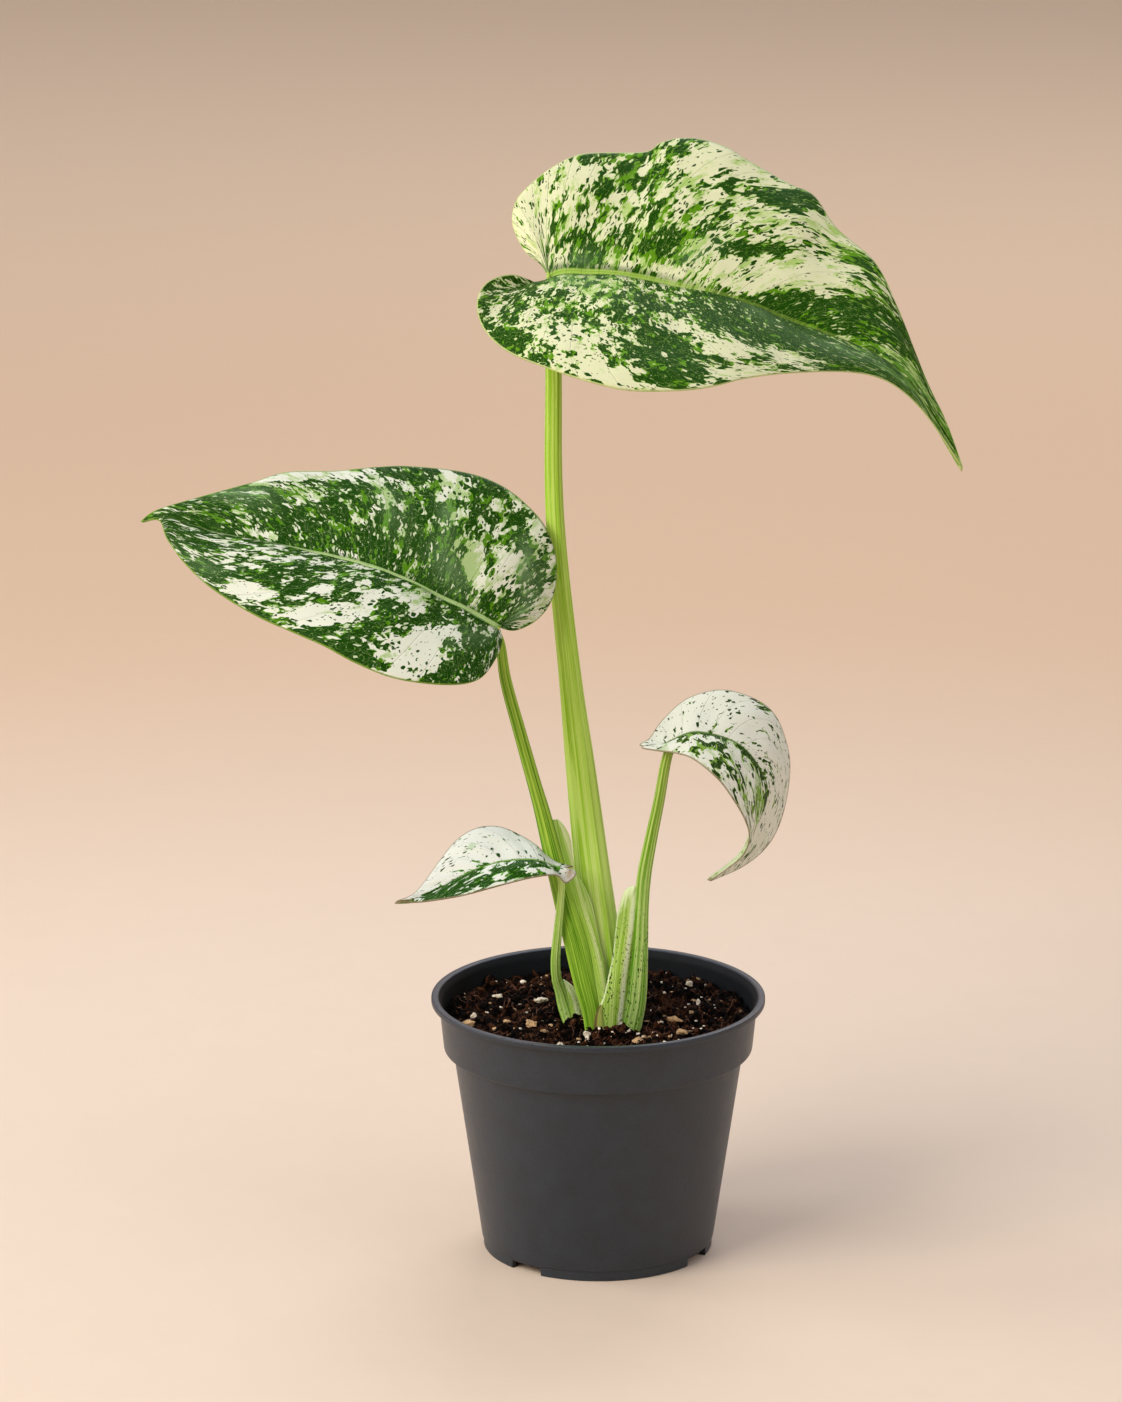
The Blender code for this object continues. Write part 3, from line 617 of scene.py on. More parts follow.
# %% The fibres
def fibres(count, lengths, radius, seed, steps=9, sides=4):
    """Tubes round lines with a start, a heading that turns evenly, and a rise in the middle."""
    rng = np.random.default_rng(seed)
    share = np.linspace(0, 1, steps)[None]
    length = rng.uniform(*lengths, (count, 1))
    heading = rng.uniform(0, math.tau, (count, 1)) + rng.uniform(-2.2, 2.2, (count, 1)) * share
    start = on_soil(rng, count, SOIL_EDGE - 6)
    x = start[:, :1] + np.cumsum(np.cos(heading), axis=1) * length / steps
    y = start[:, 1:2] + np.cumsum(np.sin(heading), axis=1) * length / steps
    rise = rng.uniform(0.0, 1.4, (count, 1)) * np.sin(math.pi * share) + 0.3
    inward = np.minimum(1, (SOIL_EDGE - 1) / np.hypot(x, y))
    x, y = x * inward, y * inward
    centre = np.stack([x, y, soil_height(x, y) + rise], axis=-1)
    angle = np.linspace(0, math.tau, sides, endpoint=False)
    side = np.stack([-np.sin(heading), np.cos(heading), 0 * heading], axis=-1)[:, :, None]
    taper = (1 - np.abs(2 * share - 1) ** 3)[:, :, None, None]
    thick = radius * rng.uniform(0.6, 1.4, (count, 1, 1, 1)) * taper
    up = np.array([0, 0, 1.0])
    ring = centre[:, :, None] + thick * (np.cos(angle)[:, None] * side + np.sin(angle)[:, None] * up)
    base = (np.arange(count)[:, None, None] * steps + np.arange(steps - 1)[:, None]) * sides
    here, after = np.arange(sides), (np.arange(sides) + 1) % sides
    faces = np.stack([base + here, base + after, base + sides + after, base + sides + here], axis=-1)
    return ring.reshape(-1, 3), faces.reshape(-1, 4)


fibre_skin = grained_material("coir fibre", "6b3f26", 300, 0.5, 0.7, 0.1, 0.0001)
points, faces = fibres(170, (3, 12), 0.11, 21)
finish_piece(put_mesh("soil_fibres", points, faces, [fibre_skin]), "soil")

# %% [markdown]
# ## Perlite and bark
# Perlite is expanded volcanic glass: white, matt, full of small pits. Bark chips are flat splinters with
# a grain. The model has the largest ones as nodes, so each is replaced where its node lies, and small
# ones fill in between. A grain is a ball split along random planes, with pits and a random relief. A
# chip is flat, split along fewer planes, and has ridges along its grain.


# %% Grains and chips
def ball_grid(rows, columns):
    """Directions over a sphere, pole to pole."""
    polar = np.linspace(0, math.pi, rows)[:, None]
    around = np.linspace(0, math.tau, columns + 1)[None]
    shape = np.stack([np.sin(polar) * np.cos(around), np.sin(polar) * np.sin(around),
                      np.cos(polar) + 0 * around], axis=-1)
    shape[0, :, :2] = 0
    shape[-1, :, :2] = 0
    shape[:, -1] = shape[:, 0]
    return shape


def broken(ball, planes, seed, hardness):
    """A lump split along random planes: radius = 1 / (sum of (cosine / distance)^hardness)^(1 / hardness)."""
    rng = np.random.default_rng(seed)
    facing = unit(rng.normal(size=(planes, 3)))
    near = np.maximum(unit(ball) @ facing.T / rng.uniform(0.6, 1.1, planes), 0.01)
    return np.minimum(np.sum(near**hardness, axis=-1) ** (-1 / hardness), 1.5)[..., None]


def box_of(node):
    """A node's centre and size in millimetres."""
    low, high = (np.array(corner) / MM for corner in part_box(node))
    return (low + high) / 2, high - low


perlite_skin = grained_material("perlite", "eaddc8", 600, 0.35, 0.95, 0.05, 0.0009, gloss=0.1)
for number in range(1, 11):
    centre, size = box_of(f"perlite_{number:02d}")
    ball = ball_grid(44, 64)
    pits = step_up(relief(ball, 0.9, 50 + number), 0.25, 0.6)
    pits = pits + 0.5 * step_up(relief(ball, 0.45, 60 + number), 0.3, 0.6)
    uneven = 1 + 0.2 * relief(ball, 1.6, 30 + number) - 0.3 * pits + 0.05 * relief(ball, 0.25, 60)
    stretch = np.array([1 + 0.3 * math.sin(5 * number), 1 + 0.25 * math.cos(3 * number), 0.85])
    points = centre + ball * broken(ball, 13, number, 12) * uneven[..., None] * size * stretch * 0.42
    item = put_grid(f"perlite_grain_{number}", points, [perlite_skin], turned=True)
    finish_piece(item, "perlite", f"perlite_{number:02d}")

bark_skin = grained_material("bark", "b0906a", 500, 1.1, 0.85, 0.08, 0.0009, gloss=0.1)
# Each chip: its turn in degrees, its length and its width. All are equally thick.
CHIPS, CHIP_THICKNESS = ((20, 5, 3), (35, 4.5, 3), (-30, 5, 2.4), (70, 4, 2.4), (110, 5.5, 2.4)), 1.7
for number, (turn, length, width) in enumerate(CHIPS, 1):
    centre, _ = box_of(f"bark_chip_{number}")
    ball = ball_grid(44, 72)
    ball = ball * broken(ball, 9, 20 + number, 26) * np.array([length, width, CHIP_THICKNESS]) / 1.9
    ball = ball * (1 - 0.12 * ball[..., :1] * np.array([0.0, 1.0, 0.6]))
    ridges = 0.2 * relief(ball * np.array([0.25, 1.5, 0.3]), 1.0, 70 + number)
    ridges = ridges + 0.3 * relief(ball, 3.4, 80 + number)
    ball = ball * (1 + ridges[..., None] * np.array([0.6, 0.8, 1.0]))
    x, y = math.cos(math.radians(turn)), math.sin(math.radians(turn))
    spin = np.array([[x, y, 0], [-y, x, 0], [0, 0, 1]])
    item = put_grid(f"bark_flake_{number}", centre + ball @ spin, [bark_skin], turned=True)
    finish_piece(item, "bark", f"bark_chip_{number}")

points, triangles, _ = lumps(210, (0.22, 0.95), 0.7, 13, 80)
finish_piece(put_mesh("perlite_bits", points, triangles, [perlite_skin], smooth=False), "perlite")
points, triangles, _ = lumps(190, (0.35, 1.4), 0.55, 14, 80)
finish_piece(put_mesh("bark_bits", points, triangles, [bark_skin], smooth=False), "bark")

# %% [markdown]
# ## The stalks
# Each leaf stands on a petiole: a round stalk with a shallow channel in front, which bends over at the
# top into the leaf's midrib and widens towards its foot. An oval section is carried along a smooth
# path. Fine lengthwise ribs are part of the section, and the lines in the skin run along it.

# %% The stalks' stations: x, y, z, half width, half thickness
STALK_TALL = (
    (-5, 5.4, 354.8, 1.4, 1.3), (-12, 5.6, 354.2, 1.9, 1.8), (-16.6, 6.2, 350.6, 2.4, 2.3),
    (-17, 5.4, 342, 2.6, 2.6), (-16, 4, 322, 2.8, 2.7), (-16, 3, 284, 3.05, 3.0), (-14.4, 1, 254, 3.4, 3.3),
    (-10, -1, 211, 4.0, 3.8), (-6.6, -3, 181, 5.1, 4.8), (-2.3, -6, 143, 6.2, 5.6),
    (0.5, -8, 120, 6.8, 6.0), (2.7, -10, 101, 6.8, 5.8), (3.5, -11, 90, 6.2, 5.4),
    (3.5, -11.5, 76, 5.6, 5.0),
)
STALK_LEFT = (
    (-40.5, -25.4, 238.2, 1.1, 1.0), (-37, -25.2, 235.8, 1.4, 1.4), (-34.6, -24.6, 231, 1.6, 1.6),
    (-32.7, -23, 217, 2.0, 1.9), (-28, -20, 198, 2.2, 2.1), (-22.8, -17.5, 178, 2.4, 2.3),
    (-20.2, -16.2, 168, 2.7, 2.5), (-16.9, -15.4, 154, 3.2, 2.8), (-13.8, -15.4, 141, 3.6, 2.9),
    (-11, -15.6, 130, 4.1, 3.0), (-7.9, -16, 118.5, 4.5, 3.0), (-4.9, -16.2, 105, 4.4, 3.0),
    (-2.0, -16, 92.5, 3.8, 3.0), (-0.4, -15, 76, 3.2, 2.8),
)
STALK_RIGHT = (
    (28, -13.2, 191.4, 1.2, 1.1), (25.4, -13, 189.6, 1.6, 1.6), (23.6, -13.4, 184.4, 1.8, 1.8),
    (21.3, -14.6, 171, 1.95, 1.9), (18.5, -15, 157, 2.2, 2.1), (16.2, -15.6, 144.2, 2.5, 2.3),
    (15.2, -16, 132.3, 2.6, 2.4), (14.5, -16.6, 117.3, 3.1, 2.5), (13.1, -17, 99.2, 4.1, 2.7),
    (11.2, -17, 88.2, 4.3, 2.7), (9.6, -16, 76, 3.6, 2.5),
)
STALK_SMALL = (
    (-18, -22.6, 149.2, 0.8, 0.8), (-14.8, -22.2, 147, 1.1, 1.1), (-13.2, -22.2, 142.8, 1.2, 1.2),
    (-13.6, -20.4, 134, 1.3, 1.2), (-14.5, -18.2, 123.5, 1.5, 1.4), (-15.3, -14.4, 112, 1.7, 1.6),
    (-14.9, -11, 104, 1.8, 1.7), (-13.4, -8.8, 98, 2.2, 1.8), (-11.7, -7.4, 91, 2.6, 1.9),
    (-9, -7.5, 83, 2.2, 1.8), (-3.5, -9, 75, 2, 1.7),
)
DRY_SCALE = (
    (1.2, -20.8, 97, 0.4, 0.3), (0.4, -21.1, 94.5, 1.0, 0.5), (0.2, -21.2, 90, 1.7, 0.7),
    (0.8, -20.8, 85, 2.0, 0.9), (1.4, -20, 80, 1.6, 0.9),
)


# %% A stalk's surface
def capped(rings, first, last):
    """Close a tube of rings with a point at each end, and make each ring's last point its first."""
    ends = [np.repeat(point[None, None], rings.shape[1], axis=1) for point in (first, last)]
    rings = np.concatenate([ends[0], rings, ends[1]])
    rings[:, -1] = rings[:, 0]
    return rings


def stalk_surface(stations, facing, rings=170, sides=72, ribs=0.03, hollow=0.12):
    """Rings along the path, with angle a from the front: across = w sin(a), depth = h cos(a).

    Both are ribbed, and a hollow is taken from the depth in front. facing turns the front from -Y
    towards +X, in degrees.
    """
    rows = smooth_path(stations, np.linspace(0, 1, rings))
    centre, (width, thickness) = rows[:, :3], rows[:, 3:].T[:, :, None]
    tangent = unit(np.gradient(centre, axis=0))
    front = ring_point(1.0, math.radians(facing), 0.0)
    outward = unit(front - (tangent @ front)[:, None] * tangent)
    side = np.cross(tangent, outward)
    angle = np.linspace(0, math.tau, sides + 1)[None]
    rib = 1 + ribs * (np.cos(11 * angle + 1) + 0.7 * np.cos(19 * angle + 2) * np.sin(5 * angle))
    across = width * np.sin(angle) * rib
    depth = thickness * (np.cos(angle) * rib - hollow * np.maximum(np.cos(angle), 0) ** 6)
    points = centre[:, None] + across[..., None] * side[:, None] + depth[..., None] * outward[:, None]
    points = capped(points, *(points[k, :-1].mean(axis=0) for k in (0, -1)))
    travel = travel_along(centre)
    travel = np.concatenate([travel[:1], travel, travel[-1:]])[:, None]
    return points, np.stack(np.broadcast_arrays(angle / math.tau, travel / 100), axis=-1)


def stalk_material(name, upper, lower, flecks=0.0, sheath=None):
    """Green skin with light lines. upper and lower are (dark, light) at the stalk's top and foot.

    flecks is the share of small dark flecks. sheath is the pale colour of a sheath's papery parts.
    """
    material, tree, shader = new_material(name, 0.15)
    uv = add(tree, "UVMap", uv_map="surface")
    lines = uv.drawn_noise(62, 1.2)
    broad = uv.drawn_noise(15, 0.8)
    mottle = uv.drawn_noise(14, 9, detail=3, roughness=0.6)
    cells = uv.drawn_noise(110, 70)
    strands = uv.drawn_noise(10, 0.3, detail=0).off_middle()
    low = mark(tree, "low")
    dark = mix(tree, low, tint(upper[0]), tint(lower[0]))
    light = mix(tree, low, tint(upper[1]), tint(lower[1]))
    colour = mix(tree, broad.ramp(0.4, 0.62, 0.0, 0.8), dark, light)
    colour = mix(tree, lines.ramp(0.53, 0.62, 0.0, 0.85), colour, light)
    colour = mix(tree, lines.ramp(0.34, 0.45, 0.85, 0.0), colour, dark)
    colour = mix(tree, mottle.ramp(0.5, 0.7, 0.0, 0.3), colour, light)
    colour = mix(tree, strands.ramp(0.012, 0.04, 0.75, 0.0), colour, light)
    if sheath:
        streaky = mottle.swing(0.8) + broad.swing(0.5)
        papery = (mark(tree, "pale") + streaky).ramp(0.28, 0.75, 0.0, 0.92)
        colour = mix(tree, papery, colour, tint(sheath))
        dry = mark(tree, "dry") + mottle.swing(1.2)
        colour = mix(tree, dry.ramp(0.6, 0.9), colour, tint("6b4023"))
    if flecks:
        spots = uv.scaled(48, 62, turn=0.5).noise(1.0, 1, 0.6)
        spots = spots + mottle.swing(0.8)
        where = spots.ramp(0.645, 0.68) * flecks
        colour = mix(tree, where * low.ramp(0.75, 1.0), colour, tint("22380e"))
    height = lines * 0.8 + cells * 0.2
    dress(tree, shader, colour, cells.ramp(0.3, 0.7, 0.4, 0.54), height, 0.0003)
    return material


def low_share(points, middle=150.0, reach=40.0):
    """1 at the foot of a stalk and 0 high up, from the height of its points."""
    return 1 - step_up(points[..., 2], middle - reach, middle + reach)


# Each stalk: its stations, the angle of its front, its colours above and below, and its flecks.
STALKS = {
    "petiole_tall": (STALK_TALL, -12, ("8cb826", "bedc68"), ("a6d640", "d6f090"), 0.0),
    "petiole_left": (STALK_LEFT, -18, ("588a10", "b0d050"), ("4e8406", "a4d046"), 0.0),
    "petiole_right": (STALK_RIGHT, 14, ("6c9818", "bcd270"), ("5c980c", "cce88c"), 1.0),
    "petiole_small": (STALK_SMALL, -24, ("b8e05a", "e0f4a0"), ("8ec23a", "d4f09a"), 0.5),
}
for node, (stations, facing, upper, lower, flecks) in STALKS.items():
    name = node.replace("petiole", "stalk")
    skin = stalk_material(name + " skin", upper, lower, flecks)
    points, uv = stalk_surface(stations, facing)
    finish_piece(put_grid(name, points, [skin], uv, {"low": low_share(points)}), node, node)

# %% [markdown]
# ## The sheaths
# Low down, the side of a petiole runs out into a thin sheath that once wrapped the younger leaf. It
# begins at a small tongue and ends in the soil, it is paler than the stalk, and its free edge dries
# brown near the ground. Each is one curved sheet between the line where it leaves the stalk and its
# free edge, bent over a ridge between them.

# %% The sheaths' three lines: root, ridge, free edge
SHEATHS = {
    "petiole_left": (
        (
            (-16.3, -15.2, 164), (-14.1, -15.8, 153.3), (-10.9, -16.6, 141.5), (-8, -17.2, 130.7),
            (-4.6, -17.6, 119.4), (-1.8, -18, 105.6), (0.4, -18, 92.2), (1, -17, 80),
        ),
        (
            (-15, -14.6, 163.9), (-11.8, -14.2, 155), (-9, -14.8, 143), (-5.6, -16, 132),
            (-2.2, -17.2, 119), (0.8, -18.4, 106), (2.6, -18.9, 92), (2.8, -18, 80),
        ),
        (
            (-14.8, -13.4, 163.6), (-12.4, -11.8, 160.6), (-10.2, -10.8, 155.4), (-8.9, -11.6, 146),
            (-5.4, -12.8, 139.1), (-2.4, -13.8, 131.6), (0.5, -15.4, 117.2), (2.6, -16.6, 107.8),
            (4.2, -17.6, 96.5), (4.8, -17.2, 80),
        ),
    ),
    "petiole_right": (
        (
            (14, -15.8, 137), (13.6, -16.6, 132.4), (12.8, -17.6, 123.6), (11.4, -18.3, 114.8),
            (10.4, -18.9, 105.8), (9.5, -19.2, 96.8), (8.4, -19.2, 87.7), (8, -18, 78),
        ),
        (
            (13.2, -16.4, 139), (11.4, -17.4, 133.6), (10.2, -19, 124.1), (9.2, -20.2, 115.3),
            (8, -20.9, 106.5), (6.9, -21.1, 97.4), (5.8, -20.9, 88.1), (5.6, -19.6, 78),
        ),
        (
            (12.6, -15.6, 139.8), (9.4, -15.4, 137.8), (7.2, -15.8, 131), (6.2, -16.6, 123.3),
            (5.3, -18, 114.8), (3.5, -19.4, 107.3), (2.2, -19.9, 101.3), (0.3, -20.2, 95.9),
            (-0.9, -20.2, 91), (-0.4, -19, 80),
        ),
    ),
    "petiole_small": (
        ((-13.3, -9.8, 102.4), (-12.2, -9.3, 98.6), (-11, -8.8, 94.6), (-10, -8.4, 88), (-9, -8.4, 80)),
        ((-12, -10, 102), (-10.2, -10.2, 98.6), (-8.8, -9.8, 94.4), (-8, -9.4, 88), (-7.6, -9, 80)),
        ((-12.6, -8.8, 102.6), (-9.4, -7.8, 99.8), (-7.2, -7.4, 95.2), (-6, -7.8, 90), (-5.8, -8, 80)),
    ),
}
# Pale bands across a sheath: place (0 root, 1 free edge), reach, amount.
PALE_BANDS = {
    "petiole_left": ((0.62, 0.2, 0.5), (1.0, 0.07, 0.8)),
    "petiole_right": ((0.23, 0.15, 0.9), (1.0, 0.08, 0.8)), "petiole_small": ((0.75, 0.5, 1.0),),
}
SHEATH_THICKNESS = 0.5


# %% The sheaths
def sheath_surface(root, ridge, edge, bands, rows=90, columns=24):
    """Rows (1-t)^2 A + 2t(1-t) C + t^2 E, with C placed so that the row passes the ridge at t = 0.4."""
    s, t = np.linspace(0, 1, rows), np.linspace(0, 1, columns)[None, :, None]
    a, r, e = (smooth_path(line, s)[:, None] for line in (root, ridge, edge))
    c = (r - 0.36 * a - 0.16 * e) / 0.48
    points = (1 - t) ** 2 * a + 2 * t * (1 - t) * c + t**2 * e
    width = np.linalg.norm(e - a, axis=-1)
    across, along = t[..., 0], s[:, None]
    ripple = 0.25 * np.sin(9 * along + 2) * across**2 * step_up(along, 0.02, 0.2)
    points = points + ripple[..., None] * np.array([0.3, -1, 0])
    uv = np.stack([width * across / 26, np.broadcast_to(along * 0.8, (rows, columns))], axis=-1)
    pale = sum(amount * np.exp(-(((across - place) / reach) ** 2)) for place, reach, amount in bands)
    pale = pale + 0.7 * (1 - step_up(along, 0.02, 0.3)) * step_up(across, 0.2, 0.7)
    dry = step_up(across, 0.7, 0.95) * step_up(along, 0.55, 0.85)
    return points, uv, {"pale": pale, "dry": dry, "low": low_share(points)}


SHEATH_COLOURS = {
    "petiole_left": (("7cae30", "b8d670"), ("98c43c", "cfe690"), 0.3, "e2eeb0"),
    "petiole_right": (("88b444", "bcd880"), ("86b032", "bed87c"), 1.0, "e0efbe"),
    "petiole_small": (("b0cc6c", "d6e8a0"), ("9cc44e", "d2e89c"), 0.8, "f0f6d0"),
}
for node, colours in SHEATH_COLOURS.items():
    name = node.replace("petiole", "sheath")
    skin = stalk_material(name + " skin", *colours)
    points, uv, marks = sheath_surface(*SHEATHS[node], PALE_BANDS[node])
    item = put_grid(name, points, [skin], uv, marks)
    thicken(item, SHEATH_THICKNESS)
    finish_piece(item, node)

# %% [markdown]
# The basal scale is a small dry leaf that once wrapped the bud. It is papery, tan and streaked with
# brown, so it gets the same swept form with its own dry skin.

# %% The basal scale
scale_skin, tree, shader = new_material("dry scale", 0.3)
uv = add(tree, "UVMap", uv_map="surface")
streaks = uv.drawn_noise(16, 14, detail=4, roughness=0.6)
round_it = add(tree, "SeparateXYZ", {"Vector": uv})
rim = (round_it - 0.2).step("ABSOLUTE").ramp(0.08, 0.16, 0.9, 0.0)
papery = mix(tree, streaks.ramp(0.32, 0.46), tint("7c7030"), tint("a6b654"))
dull = streaks.ramp(0.3, 0.7, 0.6, 0.85)
dress(tree, shader, mix(tree, rim, papery, tint("5c3a20")), dull, streaks, 0.0003)
points, uv = stalk_surface(DRY_SCALE, 0, rings=40, sides=32, ribs=0.04)
finish_piece(put_grid("dry_scale", points, [scale_skin], uv), "basal_scale", "basal_scale")

# %% [markdown]
# ## The leaves
# A leaf blade hangs on its midrib. Its outline is a far and a near margin from the stalk to the tip, and
# the blade between is a fan of rows from the midrib to the margin. Near the stalk all rows start at one
# point and fan out into the rounded lobe. A row isn't straight: it bulges towards the leaf's crown.
#
# rib, far and near are points (x, y, z) from the stalk to the tip. crown moves the middle of the widest
# row, and sink moves the rows beside the notch. lobe is the share of the margin whose rows start at the
# stalk. grid is a half's rows and columns. line says where the midrib's light line begins to fade and
# where it ends, and rib width is its half width. lean is how far the side veins run forward on their
# way to the margin, and stretch lengthens or shortens the pattern along them.

# %% The leaves' midribs and margins
BLADES = {
    "blade_tall": {
        "rib": (
            (-17.5, 5, 354.6), (-14.5, 4.7, 356.1), (-9, 4, 356.7), (7, 3, 356), (23, 1, 354),
            (45, -1, 349), (74, -3, 339), (91, -5, 332), (102, -7, 326), (113, -9, 314), (127, -12, 290),
        ),
        "far": (
            (-17.5, 5, 354.6), (-18, 6.4, 357.2), (-21, 9, 359.4), (-25.5, 13.5, 362), (-29, 19, 367),
            (-30.5, 23.5, 372), (-29, 28, 378), (-24, 32, 383), (-16, 36.5, 388.5), (-5, 42.5, 392),
            (16, 46, 392), (22, 48, 395), (30, 50, 396.5), (38, 50, 395.5), (46, 48, 393), (52, 46, 389.5),
            (67, 42, 381.5), (76, 40, 377.5), (84, 33, 367), (97, 25, 356.5), (105, 15, 341.5),
            (114, 0, 320), (121, -7, 306), (127, -12, 290),
        ),
        "near": (
            (-17.5, 5, 354.6), (-19.4, 3.4, 353.4), (-22.4, 1.4, 353.5), (-25, 0, 355.4),
            (-30.5, -3, 357.6), (-36, -6.5, 357.2), (-40.5, -12, 355), (-42.4, -20, 350.2),
            (-40, -28.5, 343.7), (-32, -38.5, 337.9), (-17, -50.5, 334), (0, -57, 330), (13, -58, 328),
            (34, -54, 328), (51, -43, 329.5), (69, -32, 329), (86, -22, 327), (97, -18, 324),
            (106, -15, 318), (115, -13, 308), (127, -12, 290),
        ),
        "crown": (0, -4, 6), "lobe": 0.2, "grid": (200, 42), "line": (0.26, 0.55), "rib width": 2.3,
        "lean": {"far": 0.24, "near": 0.28}, "stretch": {"far": 0.75, "near": 1.2},
        "sink": {"far": (3.5, 0, 1), "near": (0.5, -1, -9)},
    },
    "blade_left": {
        "rib": (
            (-35, -26, 237), (-45, -26, 243), (-56, -25, 248), (-71, -23, 255), (-87, -20, 260),
            (-105, -17, 263), (-120, -14, 265), (-136, -11, 268), (-152, -8, 272), (-161, -6, 270),
        ),
        "far": (
            (-35, -26, 237), (-29, -22, 235), (-21, -16, 238), (-16, -11, 245), (-15, -7, 256),
            (-18, -4, 266), (-24, 1, 273), (-34, 6, 280), (-47, 10, 284), (-66, 11, 286), (-78, 10, 286),
            (-93, 8, 285), (-110, 6, 285), (-122, 3, 282), (-140, -2, 278), (-155, -5, 274),
            (-161, -6, 270),
        ),
        "near": (
            (-35, -26, 237), (-34, -30, 233), (-36, -38, 229), (-42, -48, 224), (-53, -55, 224),
            (-70, -58, 227), (-84, -56, 232), (-95, -52, 237), (-104, -48, 240), (-119, -41, 245),
            (-134, -32, 252), (-144, -24, 259), (-151, -15, 266), (-154, -8, 271), (-161, -6, 270),
        ),
        "crown": (0, -4, 6), "lobe": 0.17, "grid": (180, 40), "line": (0.6, 0.95), "rib width": 1.0,
        "lean": {"far": 0.2, "near": 0.25}, "stretch": {"far": 1.0, "near": 1.3},
        "sink": {"far": (0, 0, 0), "near": (0, 0, 0)},
    },
    "blade_right": {
        "rib": (
            (23, -14, 191), (29, -13.5, 194), (36, -13, 195), (47, -13, 192), (55, -13, 185),
            (59, -13, 177), (59, -13, 170), (56, -14, 162), (51, -14, 151), (39, -15, 141),
        ),
        "far": (
            (23, -14, 191), (14.5, -13.2, 190.7), (18, -8.5, 192), (22, -2, 196), (29, 2, 202),
            (36, 4, 205), (45, 5, 206), (55, 5, 203), (62, 4, 198), (66, 2, 190), (68, 0, 179),
            (66, -2, 164), (61, -6, 153), (52, -11, 146), (39, -15, 141),
        ),
        "near": (
            (23, -14, 191), (15, -14.2, 190.2), (21, -18, 190), (27, -21, 190), (33, -25, 189),
            (41, -29, 183.5), (46, -29, 177), (51, -27, 168), (53, -23, 160), (51, -19, 152),
            (45, -17, 146), (39, -15, 141),
        ),
        "crown": (1, -1, 2), "lobe": 0.12, "grid": (150, 34), "line": (0.5, 0.9), "rib width": 0.6,
        "lean": {"far": 0.3, "near": 0.35}, "stretch": {"far": 1.1, "near": 1.0},
        "sink": {"far": (0, 0, 0), "near": (0, 0, 0)},
    },
    "blade_small": {
        "rib": (
            (-14, -24, 149), (-20, -24, 151), (-25, -24, 152), (-34, -23, 151), (-43, -23, 148),
            (-52, -23, 143.5), (-61, -24, 138.5), (-67, -25.4, 137.2), (-72, -26.4, 137.2),
        ),
        "far": (
            (-14, -24, 149), (-9, -21.5, 148.5), (-14.5, -20, 149.5), (-18, -17, 151), (-23, -13, 154.5),
            (-30, -9, 157.5), (-36, -7, 159), (-43, -7, 158.5), (-50, -9, 155), (-56, -14, 149),
            (-61.5, -19.5, 142.6), (-66, -23.6, 138.8), (-72, -26.4, 137.2),
        ),
        "near": (
            (-14, -24, 149), (-8, -27, 148), (-11.5, -30, 145), (-15, -30.5, 148), (-23, -33, 148),
            (-34, -34, 145.5), (-48, -32, 141), (-61, -28, 137.6), (-66.5, -26.4, 136.8),
            (-72, -26.4, 137.2),
        ),
        "crown": (0, -1, 2), "lobe": 0.14, "grid": (130, 30), "line": (0.5, 0.95), "rib width": 0.5,
        "lean": {"far": 0.3, "near": 0.35}, "stretch": {"far": 1.1, "near": 1.0},
        "sink": {"far": (0, 0, 0), "near": (0, 0, 0)},
    },
}
print("margin points:", {name: (len(blade["far"]), len(blade["near"])) for name, blade in BLADES.items()})
